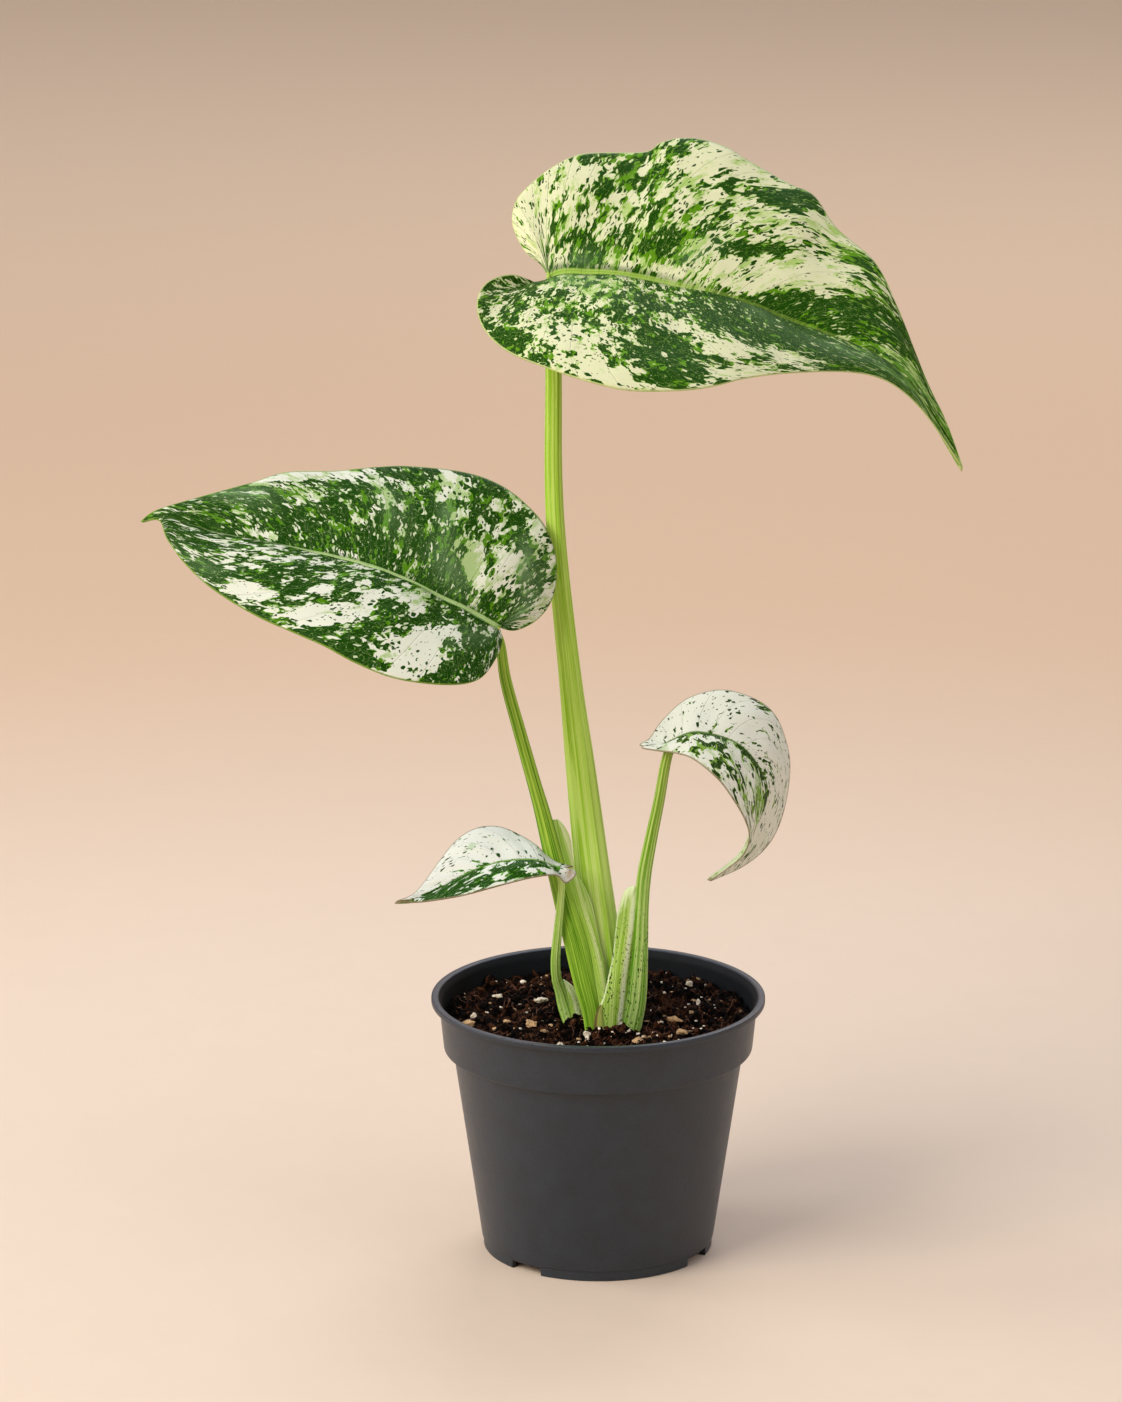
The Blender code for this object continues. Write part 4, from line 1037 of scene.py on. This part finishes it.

# %% [markdown]
# The variegation is uneven: parts of each half are nearly all cream and parts nearly all green. That is
# stored as marks on the surface, painted as a base share and a few soft spots that lean with the veins. A
# spot gives its place along the leaf (0 stalk, 1 tip) and across it (0 midrib, 1 margin), its reach each way,
# and how much it adds. GREEN is the share of green. WASH is the share of half-green tissue, which tints the
# cream and lightens the green. The last table, whose base is zero, lays one more colour over both. On the
# larger leaves it is a painted sheen, a soft pale reflection on the gloss. On the small leaf it is brown: the
# dry tip, and the tan inside of the curled base, which is partly painted shade in its hollow. The node group
# then breaks the shares up into crisp flecks.

# %% Where the leaves are green: base, then spots (along, across, reach along, reach across, change)
GREEN = {
    "blade_tall": {
        "far": (0.38, (
            (0.13, 0.7, 0.06, 0.4, -0.25), (0.2, 0.3, 0.018, 0.15, 0.7), (0.265, 0.97, 0.025, 0.06, 0.8),
            (0.325, 0.92, 0.02, 0.14, 0.9), (0.29, 0.7, 0.02, 0.1, 0.5), (0.365, 0.75, 0.022, 0.08, 0.8),
            (0.39, 0.93, 0.018, 0.06, 0.7), (0.37, 0.47, 0.02, 0.12, 0.4), (0.38, 0.26, 0.03, 0.1, 0.8),
            (0.29, 0.17, 0.03, 0.1, 0.5), (0.5, 0.33, 0.03, 0.06, 0.6), (0.55, 0.42, 0.025, 0.07, 0.6),
            (0.56, 0.88, 0.025, 0.1, 1.2), (0.535, 0.8, 0.03, 0.08, 0.5), (0.51, 0.5, 0.012, 0.03, 0.9),
            (0.685, 0.87, 0.02, 0.12, 1.1), (0.44, 0.93, 0.045, 0.15, -0.6), (0.24, 0.8, 0.03, 0.12, -0.3),
            (0.5, 0.14, 0.05, 0.08, -0.5), (0.57, 0.26, 0.05, 0.09, -0.5), (0.63, 0.45, 0.04, 0.1, -0.6),
            (0.66, 0.62, 0.03, 0.12, -0.5), (0.625, 0.9, 0.025, 0.2, -0.4), (0.55, 0.0, 0.05, 0.08, 1.0),
            (0.62, 0.08, 0.05, 0.14, 1.2), (0.68, 0.2, 0.05, 0.2, 1.2), (0.74, 0.45, 0.04, 0.35, 1.0),
            (0.79, 0.6, 0.05, 0.6, 0.9), (0.93, 0.5, 0.08, 1.0, 0.5),
        )),
        "near": (0.62, (
            (0.1, 0.6, 0.06, 0.5, 0.1), (0.3, 0.35, 0.03, 0.12, -0.35), (0.4, 0.25, 0.03, 0.15, 0.3),
            (0.44, 0.43, 0.04, 0.08, -0.5), (0.53, 0.2, 0.06, 0.2, 0.8), (0.47, 0.72, 0.04, 0.17, 0.9),
            (0.5, 0.88, 0.03, 0.1, 0.5), (0.33, 0.78, 0.05, 0.2, -0.5), (0.41, 0.93, 0.025, 0.09, -0.6),
            (0.25, 0.93, 0.03, 0.1, 0.7), (0.56, 0.62, 0.035, 0.1, -1.0), (0.59, 0.9, 0.035, 0.1, -1.0),
            (0.645, 0.68, 0.025, 0.12, -0.8), (0.65, 0.22, 0.1, 0.28, 0.8), (0.8, 0.5, 0.1, 1.0, 0.8),
            (0.22, 0.6, 0.02, 0.1, 0.4), (0.17, 0.75, 0.02, 0.15, -0.3), (0.53, 0.97, 0.03, 0.05, -0.4),
        )),
    },
    "blade_left": {
        "far": (0.78, (
            (0.72, 0.93, 0.06, 0.13, -1.1), (0.62, 0.9, 0.025, 0.1, -1.0), (0.665, 0.62, 0.02, 0.06, -0.7),
            (0.43, 0.86, 0.02, 0.12, -1.1), (0.52, 0.58, 0.008, 0.06, -0.7),
            (0.555, 0.33, 0.01, 0.04, -0.8), (0.375, 0.52, 0.01, 0.05, -0.8),
            (0.345, 0.83, 0.01, 0.05, -0.8), (0.3, 0.35, 0.03, 0.13, -0.9), (0.25, 0.5, 0.03, 0.15, -0.9),
            (0.14, 0.25, 0.04, 0.15, 0.6), (0.25, 0.9, 0.025, 0.1, -0.9), (0.1, 0.8, 0.05, 0.25, -0.9),
            (0.21, 0.95, 0.02, 0.06, -0.6), (0.5, 0.75, 0.06, 0.2, -0.1),
        )),
        "near": (0.72, (
            (0.69, 0.78, 0.035, 0.12, -1.1), (0.64, 0.75, 0.02, 0.1, -0.7), (0.72, 0.4, 0.08, 0.2, -0.25),
            (0.55, 0.52, 0.018, 0.08, -1.0), (0.545, 0.33, 0.012, 0.05, -0.8),
            (0.5, 0.72, 0.04, 0.12, -1.1), (0.55, 0.8, 0.03, 0.12, -0.9), (0.45, 0.55, 0.03, 0.1, -0.8),
            (0.44, 0.35, 0.02, 0.08, -0.8), (0.4, 0.68, 0.03, 0.12, 0.5), (0.42, 0.93, 0.04, 0.1, 0.3),
            (0.31, 0.62, 0.03, 0.3, -1.0), (0.27, 0.8, 0.025, 0.2, -0.8), (0.32, 0.92, 0.03, 0.1, -0.7),
            (0.36, 0.2, 0.04, 0.08, -0.7), (0.19, 0.6, 0.04, 0.4, 0.6), (0.61, 0.72, 0.015, 0.15, 0.5),
        )),
    },
    "blade_right": {
        "far": (0.06, (
            (0.44, 0.95, 0.02, 0.1, 0.6), (0.3, 0.7, 0.02, 0.1, 0.15), (0.9, 0.6, 0.04, 0.4, 0.1),
        )),
        "near": (0.2, (
            (0.28, 0.55, 0.05, 0.3, 0.35), (0.36, 0.3, 0.05, 0.3, 0.5), (0.42, 0.9, 0.03, 0.2, 0.6),
            (0.5, 0.05, 0.4, 0.1, 0.8), (0.66, 0.5, 0.1, 0.5, 0.2), (0.92, 0.5, 0.1, 1.0, -0.6),
        )),
    },
    "blade_small": {
        "far": (0.03, (
            (0.58, 0.5, 0.04, 0.12, 0.35), (0.4, 0.3, 0.06, 0.1, 0.15), (0.85, 0.05, 0.15, 0.15, 0.6),
            (0.55, 0.0, 0.3, 0.06, 0.6),
        )),
        "near": (0.66, (
            (0.78, 0.3, 0.12, 0.5, 0.3), (0.35, 0.2, 0.08, 0.2, 0.2), (0.1, 0.6, 0.07, 1.0, -0.9),
        )),
    },
}
WASH = {
    "blade_tall": {
        "far": (0.42, (
            (0.37, 0.2, 0.05, 0.12, 0.4), (0.68, 0.9, 0.04, 0.15, 0.4), (0.95, 0.5, 0.12, 1.0, 0.9),
        )),
        "near": (0.3, ((0.95, 0.5, 0.14, 1.0, 0.9), (0.3, 0.2, 0.1, 0.3, 0.3))),
    },
    "blade_left": {
        "far": (0.5, ((0.33, 0.3, 0.05, 0.2, 0.3),)), "near": (0.3, ((0.31, 0.1, 0.06, 0.15, 0.4),)),
    },
    "blade_right": {
        "far": (0.1, ()), "near": (0.36, ((0.6, 0.3, 0.15, 0.4, 0.35), (0.95, 0.5, 0.12, 1.0, -0.6))),
    },
    "blade_small": {"far": (0.1, ((0.57, 0.55, 0.04, 0.15, 0.6),)), "near": (0.25, ())},
}
# painted sheen on the larger leaves, a soft reflection on the gloss; on the small leaf the brown of its dry
# tip and curled base, partly painted shade in the hollow
PAINTED_SHINE_AND_DRY = {
    "blade_tall": {
        "far": ((0.24, 0.06, 0.04, 0.1, 0.6), (0.44, 0.2, 0.02, 0.12, 0.6), (0.86, 0.3, 0.05, 0.5, 0.4)),
        "near": (
            (0.25, 0.1, 0.06, 0.15, 0.6), (0.56, 0.08, 0.04, 0.12, 0.5), (0.72, 0.3, 0.08, 0.2, 0.5),
            (0.85, 0.4, 0.08, 0.4, 0.4),
        ),
    },
    "blade_left": {
        "far": (
            (0.22, 0.62, 0.03, 0.15, 0.9), (0.33, 0.22, 0.05, 0.14, 0.7), (0.1, 0.35, 0.06, 0.4, 0.9),
            (0.8, 0.75, 0.05, 0.25, 0.8), (0.5, 0.5, 0.03, 0.2, 0.5), (0.4, 0.55, 0.02, 0.15, 0.6),
        ),
        "near": ((0.2, 0.3, 0.04, 0.3, 0.5), (0.8, 0.8, 0.05, 0.2, 0.4)),
    },
    "blade_right": {"far": (), "near": ()},
    "blade_small": {
        "far": ((0.03, 0.8, 0.05, 0.4, 4.0), (1.0, 0.5, 0.022, 2.0, 5.0)),
        "near": ((0.08, 0.6, 0.07, 0.4, 2.6), (1.0, 0.5, 0.022, 2.0, 5.0)),
    },
}
LEAN = 0.18


def painted(u, v, base, spots, most=1.0):
    """base, plus for each spot its change times a bell curve whose axis leans with the veins, up to most."""
    share = np.full(np.broadcast(u, v).shape, float(base))
    for along, across, reach, width, change in spots:
        lean = (u - along) - LEAN * (v - across)
        share += change * np.exp(-((lean / reach) ** 2) - ((v - across) / width) ** 2)
    return np.clip(share, 0, most)


# %% [markdown]
# Each half carries what its material needs: a coordinate across the veins and one along them, in
# centimetres, the painted shares, its distances from the midrib and the margin, and how clearly the
# midrib shows. Columns are crowded near the midrib, because the groove there is narrow.


# %% One half of a leaf
def half_blade(name, side):
    """Rows (1-v)^2 R + 2v(1-v) C + v^2 E from the midrib R to the margin E, with C lifted to the crown.

    A vein is where u - lean v is constant. The coordinate across the veins adds up their true spacing.
    """
    blade = BLADES[name]
    rows, columns = blade["grid"]
    u, v = np.linspace(0, 1, rows)[:, None], np.linspace(0, 1, columns + 1)[None] ** 1.4
    start = smooth_path(blade["rib"], np.clip((u[:, 0] - blade["lobe"]) / (1 - blade["lobe"]), 0, 1))
    end = smooth_path(blade[side], u[:, 0])
    span = np.linalg.norm(end - start, axis=1, keepdims=True)
    middle = (start + end) / 2 + np.array(blade["crown"]) * span / span.max()
    sunk = np.array(blade["sink"][side]) * np.exp(-(((u - 0.45 * blade["lobe"]) / 0.06) ** 2))
    middle = middle + sunk * step_up(span, 0, 10)
    w = v[..., None]
    points = (1 - w) ** 2 * start[:, None] + 2 * w * (1 - w) * middle[:, None] + w**2 * end[:, None]
    margin_length = np.linalg.norm(np.diff(end, axis=0), axis=1).sum()
    lean = blade["lean"][side] * step_up(u, 0.05, 0.85) * step_up(span, 0, 10)
    vein = u - lean * v
    run = np.hypot(span, lean * margin_length)
    upright = (span / np.maximum(run, 1e-6))[1:, 0]
    spacing = np.concatenate([[0], np.cumsum(upright / (rows - 1))]) * margin_length
    sign = 1.0 if side == "far" else -1.0
    along = sign * (run * v + 2) / 10 * blade["stretch"][side]
    width = blade["rib width"] * (1 - u) ** 1.4 + 0.3
    return {
        "points": points,
        "uv": np.stack([np.interp(vein, u[:, 0], spacing) / 10, along], axis=-1),
        "green": painted(u, v, *GREEN[name][side]),
        "wash": painted(u, v, *WASH[name][side]),
        "painted_shine_and_dry": painted(u, v, 0.0, PAINTED_SHINE_AND_DRY[name][side], 5.0),
        "rib": np.clip(1 - span * v / width, -2, 1),
        "line": step_up(-u, *(-np.array(blade["line"]))[::-1]) + 0 * v,
        "edge": span * (1 - v),
        "vein": vein + 0 * v,
        "across": v + 0 * u,
    }


def whole_blade(name):
    """The far half turned round, then the near half without its first column, as one grid of arrays."""
    far, near = half_blade(name, "far"), half_blade(name, "near")
    return {key: np.concatenate([far[key][:, ::-1], near[key][:, 1:]], axis=1) for key in far}


def surface_normals(points):
    """Cross product of the grid's two directions. Where rows meet in a point, a neighbour's is used."""
    along, across = np.gradient(points, axis=0), np.gradient(points, axis=1)
    normal = unit(np.cross(across, along))
    normal[0], normal[-1] = normal[2], normal[-3]
    middle = points.shape[1] // 2
    weak = np.linalg.norm(np.cross(across, along), axis=-1) < 1e-4
    normal[weak] = np.broadcast_to(normal[:, middle + 4 : middle + 5], normal.shape)[weak]
    return normal


def blade_relief(grid, veins):
    """Out of the leaf: a soft roll between the side veins, a groove on the midrib and a random swell."""
    arch = np.sin(math.pi * np.clip(grid["across"], 0, 1)) ** 0.6
    quilt = 0.28 * np.cos(math.tau * veins * grid["vein"]) * arch
    groove = -0.75 * np.clip(grid["rib"], 0, 1) ** 1.5
    swell = 0.5 * relief(grid["points"], 38, 5) + 0.16 * relief(grid["points"], 11, 6)
    return quilt * step_up(grid["edge"], 0, 6) + groove + swell * step_up(grid["edge"], 0, 14)


# %% [markdown]
# ## The variegation
# On the real leaf whole layers of cells lack their green. Where both layers are green the leaf is dark,
# where one is it is paler, and where none is it is cream; the edges are crisp because they are borders
# between cells. Broad and middle noises move the painted share up and down, and a fine field, stretched
# along the veins, is cut at a level that depends on that share. Cutting the one field at three levels
# gives the dark flecks their paler seams: a halo in the cream, the green, and the deep green inside it.
# Round flecks, dark in the cream and pale in the green, and thin winding pale lines lie over that.

# %% The variegation group
LEAF_NUMBERS = {"Green": 0.5, "Wash": 0.3, "Rib": 0.0, "Edge": 10.0, "Line": 1.0, "Painted_Shine_And_Dry": 0.0,
                "Contrast": 1.0, "Flank": 0.5}
LEAF_COLOURS = ("Cream", "Sage", "Mid", "Dark", "Midrib", "Margin", "Painted_Shine_And_Dry_Colour")
sockets = {"Vector": ("Vector", (0, 0, 0))}
sockets.update({key: ("Float", value) for key, value in LEAF_NUMBERS.items()})
sockets.update({key: ("Color", (1, 1, 1, 1)) for key in LEAF_COLOURS})
leaf, given, result = new_group("variegation", sockets)


def round_flecks(place, keep, size):
    """Oval flecks: a share keep of the cells of a Voronoi pattern each hold one, of a random size."""
    distance = add(leaf, "TexVoronoi", {"Vector": place, "Scale": 1.0})
    hue = Value(leaf, distance.socket.node.outputs["Color"])
    pick = add(leaf, "SeparateColor", {"Color": hue})
    radius = ((pick - 1.0 + keep) * size + 0.14).step("MINIMUM", 0.42)
    return (pick + keep).passes(1.0, 0.001) * radius.passes(distance, 0.04)


bends = given["Vector"].scaled(5, 3.5, 51).noise(1, 1, out=1)
bends = add(leaf, "VectorMath", {0: bends, 1: (0.5, 0.5, 0.5)}, operation="SUBTRACT")
bends = add(leaf, "VectorMath", {0: bends, 3: 0.22}, operation="SCALE")
place = add(leaf, "VectorMath", {0: given["Vector"], 1: bends}, operation="ADD")
broad = place.drawn_noise(0.8, 0.4, 3, detail=1)
blotch = place.drawn_noise(2.6, 1.3, 7, detail=1, distortion=0.4)
medium = place.drawn_noise(5.0, 2.2, 11, detail=1, roughness=0.4, distortion=0.6)
fine = place.drawn_noise(12, 4.4, 17, detail=0)
half_tone = place.drawn_noise(3.0, 1.0, 23, detail=4, roughness=0.65, distortion=0.4)
share = given["Green"] + broad.swing(0.9)
share = share + blotch.swing(1.8)
field = medium * 0.74 + fine * 0.26
wanted = (share - 0.5) * given["Contrast"] + 0.5
level = wanted.ramp(-0.2, 1.2, 0.74, 0.26, smooth=False)
halo = field.passes(level - 0.035, 0.02)
green = field.passes(level, 0.008)
lighter = (half_tone + given["Wash"].swing(0.2)).ramp(0.42, 0.72, 0.0, 0.3)
deep = field.passes(level + 0.012 + lighter, 0.02)
dark_dots = round_flecks(place.scaled(7.5, 3.0, 29), share.ramp(-0.4, 0.6, 0.25, 0.62), 0.58)
small_dots = round_flecks(place.scaled(14, 6.0, 33), share.ramp(-0.4, 0.6, 0.15, 0.6), 0.52)
dark_dots = dark_dots.step("MAXIMUM", small_dots)
pale_dots = round_flecks(place.scaled(8.5, 2.8, 31), share.ramp(0.4, 1.4, 0.65, 0.3), 0.5)
small_dots = round_flecks(place.scaled(15, 6.0, 35), share.ramp(0.4, 1.4, 0.3, 0.1), 0.5)
pale_dots = pale_dots.step("MAXIMUM", small_dots)
worms = place.drawn_noise(7, 3.6, 37, detail=1, distortion=0.8).off_middle()
worms = worms.ramp(0.004, 0.02, 0.7, 0.0) * share.ramp(0.4, 0.8)
tone = (half_tone + given["Wash"].swing(0.5)).ramp(0.46, 0.6)
pale = mix(leaf, tone, given["Cream"], given["Sage"])
pale = mix(leaf, halo * 0.55, pale, given["Sage"])
body = mix(leaf, deep, given["Mid"], given["Dark"])
body = mix(leaf, worms, body, mix(leaf, 0.5, given["Mid"], given["Sage"]))
body = mix(leaf, pale_dots, body, mix(leaf, 0.4, given["Sage"], given["Cream"]))
colour = mix(leaf, green, mix(leaf, dark_dots, pale, given["Dark"]), body)
# painted sheen over the leaf; on the small leaf, the brown of its dry ends and the painted shade in its
# curled base
painted_shine_and_dry = given["Painted_Shine_And_Dry"] * half_tone.ramp(0.3, 0.6, 0.2, 0.6)
painted_shine_and_dry = painted_shine_and_dry * green.ramp(0, 1, 0.6, 1.0)
colour = mix(leaf, painted_shine_and_dry, colour, given["Painted_Shine_And_Dry_Colour"])

# %% [markdown]
# Over the tissues lie the veins. The midrib is a light line with a darker band on each side, and it fades
# towards the tip. Two fine darker lines along it are painted shade, standing for its grooves. The side veins
# are thin light lines in the green and slight grooves everywhere.

# %% Veins, gloss and relief
strands = add(leaf, "SeparateXYZ", {"Vector": given["Vector"]})
strand = (strands + broad.swing(0.25)).step("PINGPONG", 0.35)
line = strand.ramp(0.0, 0.03, 1.0, 0.0)
threads = given["Vector"].drawn_noise(22, 0.7, 41)
colour = mix(leaf, line * green * 0.05, colour, given["Midrib"])
colour = mix(leaf, threads.ramp(0.55, 0.75) * 0.08, colour, given["Sage"])
flank = given["Rib"].ramp(-1.6, -0.3) * given["Line"].ramp(0, 1, 0.1, 1.0)
colour = mix(leaf, flank * given["Flank"], colour, given["Dark"])
clear = given["Line"].ramp(0, 1, 0.3, 0.95)
colour = mix(leaf, given["Rib"].ramp(-0.1, 0.35) * clear, colour, given["Midrib"])
# painted shade: two fine darker lines along the midrib stand for its grooves
painted_groove_shade = given["Rib"].step("PINGPONG", 0.24).ramp(0.0, 0.08, 0.75, 0.0)
painted_groove_shade = painted_groove_shade * given["Rib"].ramp(-0.2, 0.0)
colour = mix(leaf, painted_groove_shade * clear, colour, given["Mid"])
colour = mix(leaf, given["Edge"].ramp(0.25, 0.6, 0.85, 0.0), colour, given["Margin"])
cells = given["Vector"].drawn_noise(45, 30, 43)
height = cells * 0.25 - line * 0.6 + green * 0.12
fill(leaf, result, {"Colour": colour, "Roughness": cells.ramp(0.3, 0.7, 0.42, 0.54), "Height": height})
print("variegation group:", len(leaf.nodes), "nodes")

# %% [markdown]
# A leaf has two skins, and the underside's is paler and duller. Each sets the group's seven colours,
# how sharply the painted share is followed, and how dark the bands beside the midrib are.

# %% The leaves' skins
MARKS = ("Green", "Wash", "Painted_Shine_And_Dry", "Rib", "Edge", "Line")


def leaf_material(name, colours, contrast, flank):
    """A leaf's skin: the variegation group fed by the marks that the surface carries."""
    material, tree, shader = new_material(name, 0.05)
    inputs = {key: mark(tree, key.lower()) for key in MARKS}
    inputs.update(colours, Vector=add(tree, "UVMap", uv_map="surface"), Contrast=contrast, Flank=flank)
    dress_with(tree, shader, leaf, inputs, 0.00025)
    return material


# the last colour defaults to the painted sheen's pale grey-green
def palette(cream, sage, mid, dark, midrib, margin, painted_shine_and_dry_colour="82a472"):
    """The seven colours of one leaf."""
    return dict(zip(LEAF_COLOURS, map(tint, (cream, sage, mid, dark, midrib, margin, painted_shine_and_dry_colour))))


SKINS = {
    "blade_tall": (palette("dadcb0", "a9c66c", "568b0a", "1b4400", "a4c458", "c0cd84"),
                   palette("cad69a", "a3b97c", "7fa842", "528528", "b0c95c", "c0cd84"), 1.5, 0.6),
    "blade_left": (palette("dadecb", "a6bf80", "4b7f08", "184000", "b4cf90", "7d9c3c"),
                   palette("cdd6b0", "a3b98a", "7ba23c", "4c7f28", "b0c95c", "a0b66c"), 2.0, 0.45),
    "blade_right": (palette("dcdfcf", "b2c698", "7aa040", "203c08", "44701c", "8f8668"),
                    palette("d0d8ba", "b0c292", "90b266", "689248", "a3c076", "8f8668"), 1.2, 0.0),
    # the small leaf's last colour is the brown of its dry tip and curled base, partly painted shade
    "blade_small": (palette("d4d8ce", "b3c6aa", "4e8a1a", "1b4402", "7aa848", "877a5c", "80602e"),
                    palette("d4dac2", "aec298", "8bb05a", "609142", "a3c076", "877a5c", "80602e"), 1.4, 0.0),
}
print("leaf colours:", len(LEAF_COLOURS), "for each of", 2 * len(SKINS), "skins")

# %% [markdown]
# Now each leaf is put together. Solidify gives the sheet its thickness and puts the paler skin on the
# underside. A tapered ridge runs under the midrib, as on the real leaf, where the stalk goes on into
# the blade.

# %% The leaves
LEAF_THICKNESS, SIDE_VEINS, CLEARANCE = 0.45, 9, 0.4
UPWARD = np.array([0, -0.5, 1])


def midrib_ridge(points, normals, lobe, radius, sides=14):
    """A round section carried along just under the midrib; its radius shrinks towards the tip."""
    first = int(lobe * len(points))
    middle = points.shape[1] // 2
    path, down = points[first:-1, middle], -normals[first:-1, middle]
    share = np.linspace(0, 1, len(path))[:, None]
    size = (radius * (1 - share) ** 0.8 + 0.25) * (0.3 + 0.7 * step_up(share, 0, 0.06))
    path = path + down * (0.9 * size)
    side = unit(np.cross(np.gradient(path, axis=0), down))
    angle = np.linspace(0, math.tau, sides + 1)[None, :, None]
    rings = path[:, None] + size[:, None] * (np.cos(angle) * side[:, None] + np.sin(angle) * down[:, None])
    rings = capped(rings, path[0], path[-1])
    travel = np.linspace(0, 1, len(rings))[:, None] * len(rings) / 150
    return rings, np.stack(np.broadcast_arrays(angle[..., 0] / math.tau, travel), axis=-1)


green_ridge = stalk_material("midrib skin", ("8fb04c", "bccf86"), ("8fb04c", "bccf86"))
pale_ridge = stalk_material("pale midrib skin", ("c3d0a4", "e6ead6"), ("c3d0a4", "e6ead6"))
# Each leaf's midrib ridge: its radius at the stalk and its skin.
RIDGES = {"blade_tall": (1.5, green_ridge), "blade_left": (1.5, green_ridge),
          "blade_right": (0.9, pale_ridge), "blade_small": (0.9, pale_ridge)}
LOW, HIGH = (np.array(corner) / MM for corner in CAD_BOX)
for name, blade in BLADES.items():
    upper, under, contrast, flank = SKINS[name]
    skins = [leaf_material(f"{name} {part} skin", colours, contrast, flank)
             for part, colours in (("upper", upper), ("under", under))]
    grid = whole_blade(name)
    normals = surface_normals(grid["points"])
    turned = (normals @ UPWARD).mean() < 0
    if turned:
        normals = -normals
    points = grid["points"] + normals * blade_relief(grid, SIDE_VEINS)[..., None]
    points = np.clip(points, LOW + CLEARANCE, HIGH - CLEARANCE)
    marks = {key.lower(): grid[key.lower()] for key in MARKS}
    item = put_grid(name.replace("blade", "leaf"), points, skins, grid["uv"], marks, turned)
    thicken(item, LEAF_THICKNESS, underside=1)
    finish_piece(item, name, name)
    radius, skin = RIDGES[name]
    rings, uv = midrib_ridge(points, normals, blade["lobe"], radius)
    finish_piece(put_grid(name.replace("blade", "midrib"), rings, [skin], uv), name)

# %% [markdown]
# ## The root crown
# The crown and its roots are buried in the soil. The model's own shape is right, so it only gets a
# woody finish through its material slot.

# %% The crown's finish
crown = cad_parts["root_crown"]
crown.data.materials.clear()
crown.data.materials.append(grained_material("root skin", "bfae86", 200, 0.3, 0.8, 0.1, 0.0004))
print("root crown:", len(crown.data.polygons), "faces of the model's own mesh")

# %% [markdown]
# ## Stage, light and camera
# A plain pale floor runs up into a low round wall, so that there is no horizon from any side. A large
# warm light from the front left shapes the leaves, and a smaller cool one from the left draws their
# edges. A weak one from the right opens the shadows, and one from behind lights the leaves' rims.


# %% The stage
def bowl_points(turns=96):
    """A flat floor whose section turns up in a quarter circle into a wall, carried round."""
    bend = np.linspace(0, math.pi / 2, 14)
    reach = np.concatenate([[0, 1500, 3000], 4200 + 1500 * np.sin(bend), [5700]])
    height = np.concatenate([[0, 0, 0], 1500 * (1 - np.cos(bend)), [3200]])
    return ring_point(reach[None], np.linspace(0, math.tau, turns + 1)[:, None], height[None])


floor_skin = grained_material("plaster", "dcc8b1", 40, 0.02, 0.85, 0.04, 0.0003)
tree, shader, plaster, _ = shader_of(floor_skin)
# painted shade and light: the floor turns a darker, warmer beige from 0.25 to 1 m out, then lighter beyond
# 1.2 m, making up for the lamps' light falling off on the far floor and wall
reach = add(tree, "VectorMath", {0: own_place(tree)}, 1, operation="LENGTH")
plaster = mix(tree, reach.ramp(0.25, 1.0), plaster, tint("cfb191"))
plaster = mix(tree, reach.ramp(1.2, 3.0), plaster, tint("eed4b4"))
fill(tree, shader, {"Base Color": plaster})
put_grid("floor", bowl_points(), [floor_skin])

world = bpy.data.worlds.new("soft daylight")
bpy.context.scene.world = world
world.use_nodes = True
sky = world.node_tree.nodes["Background"]
sky.inputs["Color"].default_value = tint("e4ebff")
sky.inputs["Strength"].default_value = 0.6


def area_light(name, place, size, power, colour, aim=(0, 0, 0.2)):
    """A square soft light at place (metres) that faces aim."""
    light = bpy.data.lights.new(name, "AREA")
    light.size = size
    light.energy = power
    light.color = tint(colour)[:3]
    lamp = bpy.data.objects.new(name, light)
    bpy.context.scene.collection.objects.link(lamp)
    away = np.array(place) - np.array(aim)
    yaw = math.atan2(away[0], -away[1])
    pitch = math.atan2(math.hypot(away[0], away[1]), away[2])
    lamp.location = place
    lamp.rotation_euler = (pitch, 0, yaw)


area_light("window", (-1.6, -1.2, 1.5), 1.5, 49, "fff9f0")
area_light("edge", (-1.8, 0.3, 1.0), 0.9, 13, "f2f5ff")
area_light("fill", (1.8, -1.0, 0.9), 1.5, 9, "f2f5ff")
area_light("back", (0.4, 1.7, 1.7), 1.4, 18, "f7f7ff")

# %% [markdown]
# The camera stands two metres in front of the plant and a little above it, with a long lens, and looks
# down by about fifteen degrees.

# %% The camera
CAMERA_PLACE, CAMERA_TILT, LENS = (-0.01337, -2.0, 0.74393), 0.26396, 150.05
camera_data = bpy.data.cameras.new("camera")
camera_data.lens = LENS
camera = bpy.data.objects.new("camera", camera_data)
bpy.context.scene.collection.objects.link(camera)
camera.location = CAMERA_PLACE
camera.rotation_euler = (math.pi / 2 - CAMERA_TILT, 0, 0)
bpy.context.scene.camera = camera
bpy.context.scene.view_settings.view_transform = "Standard"
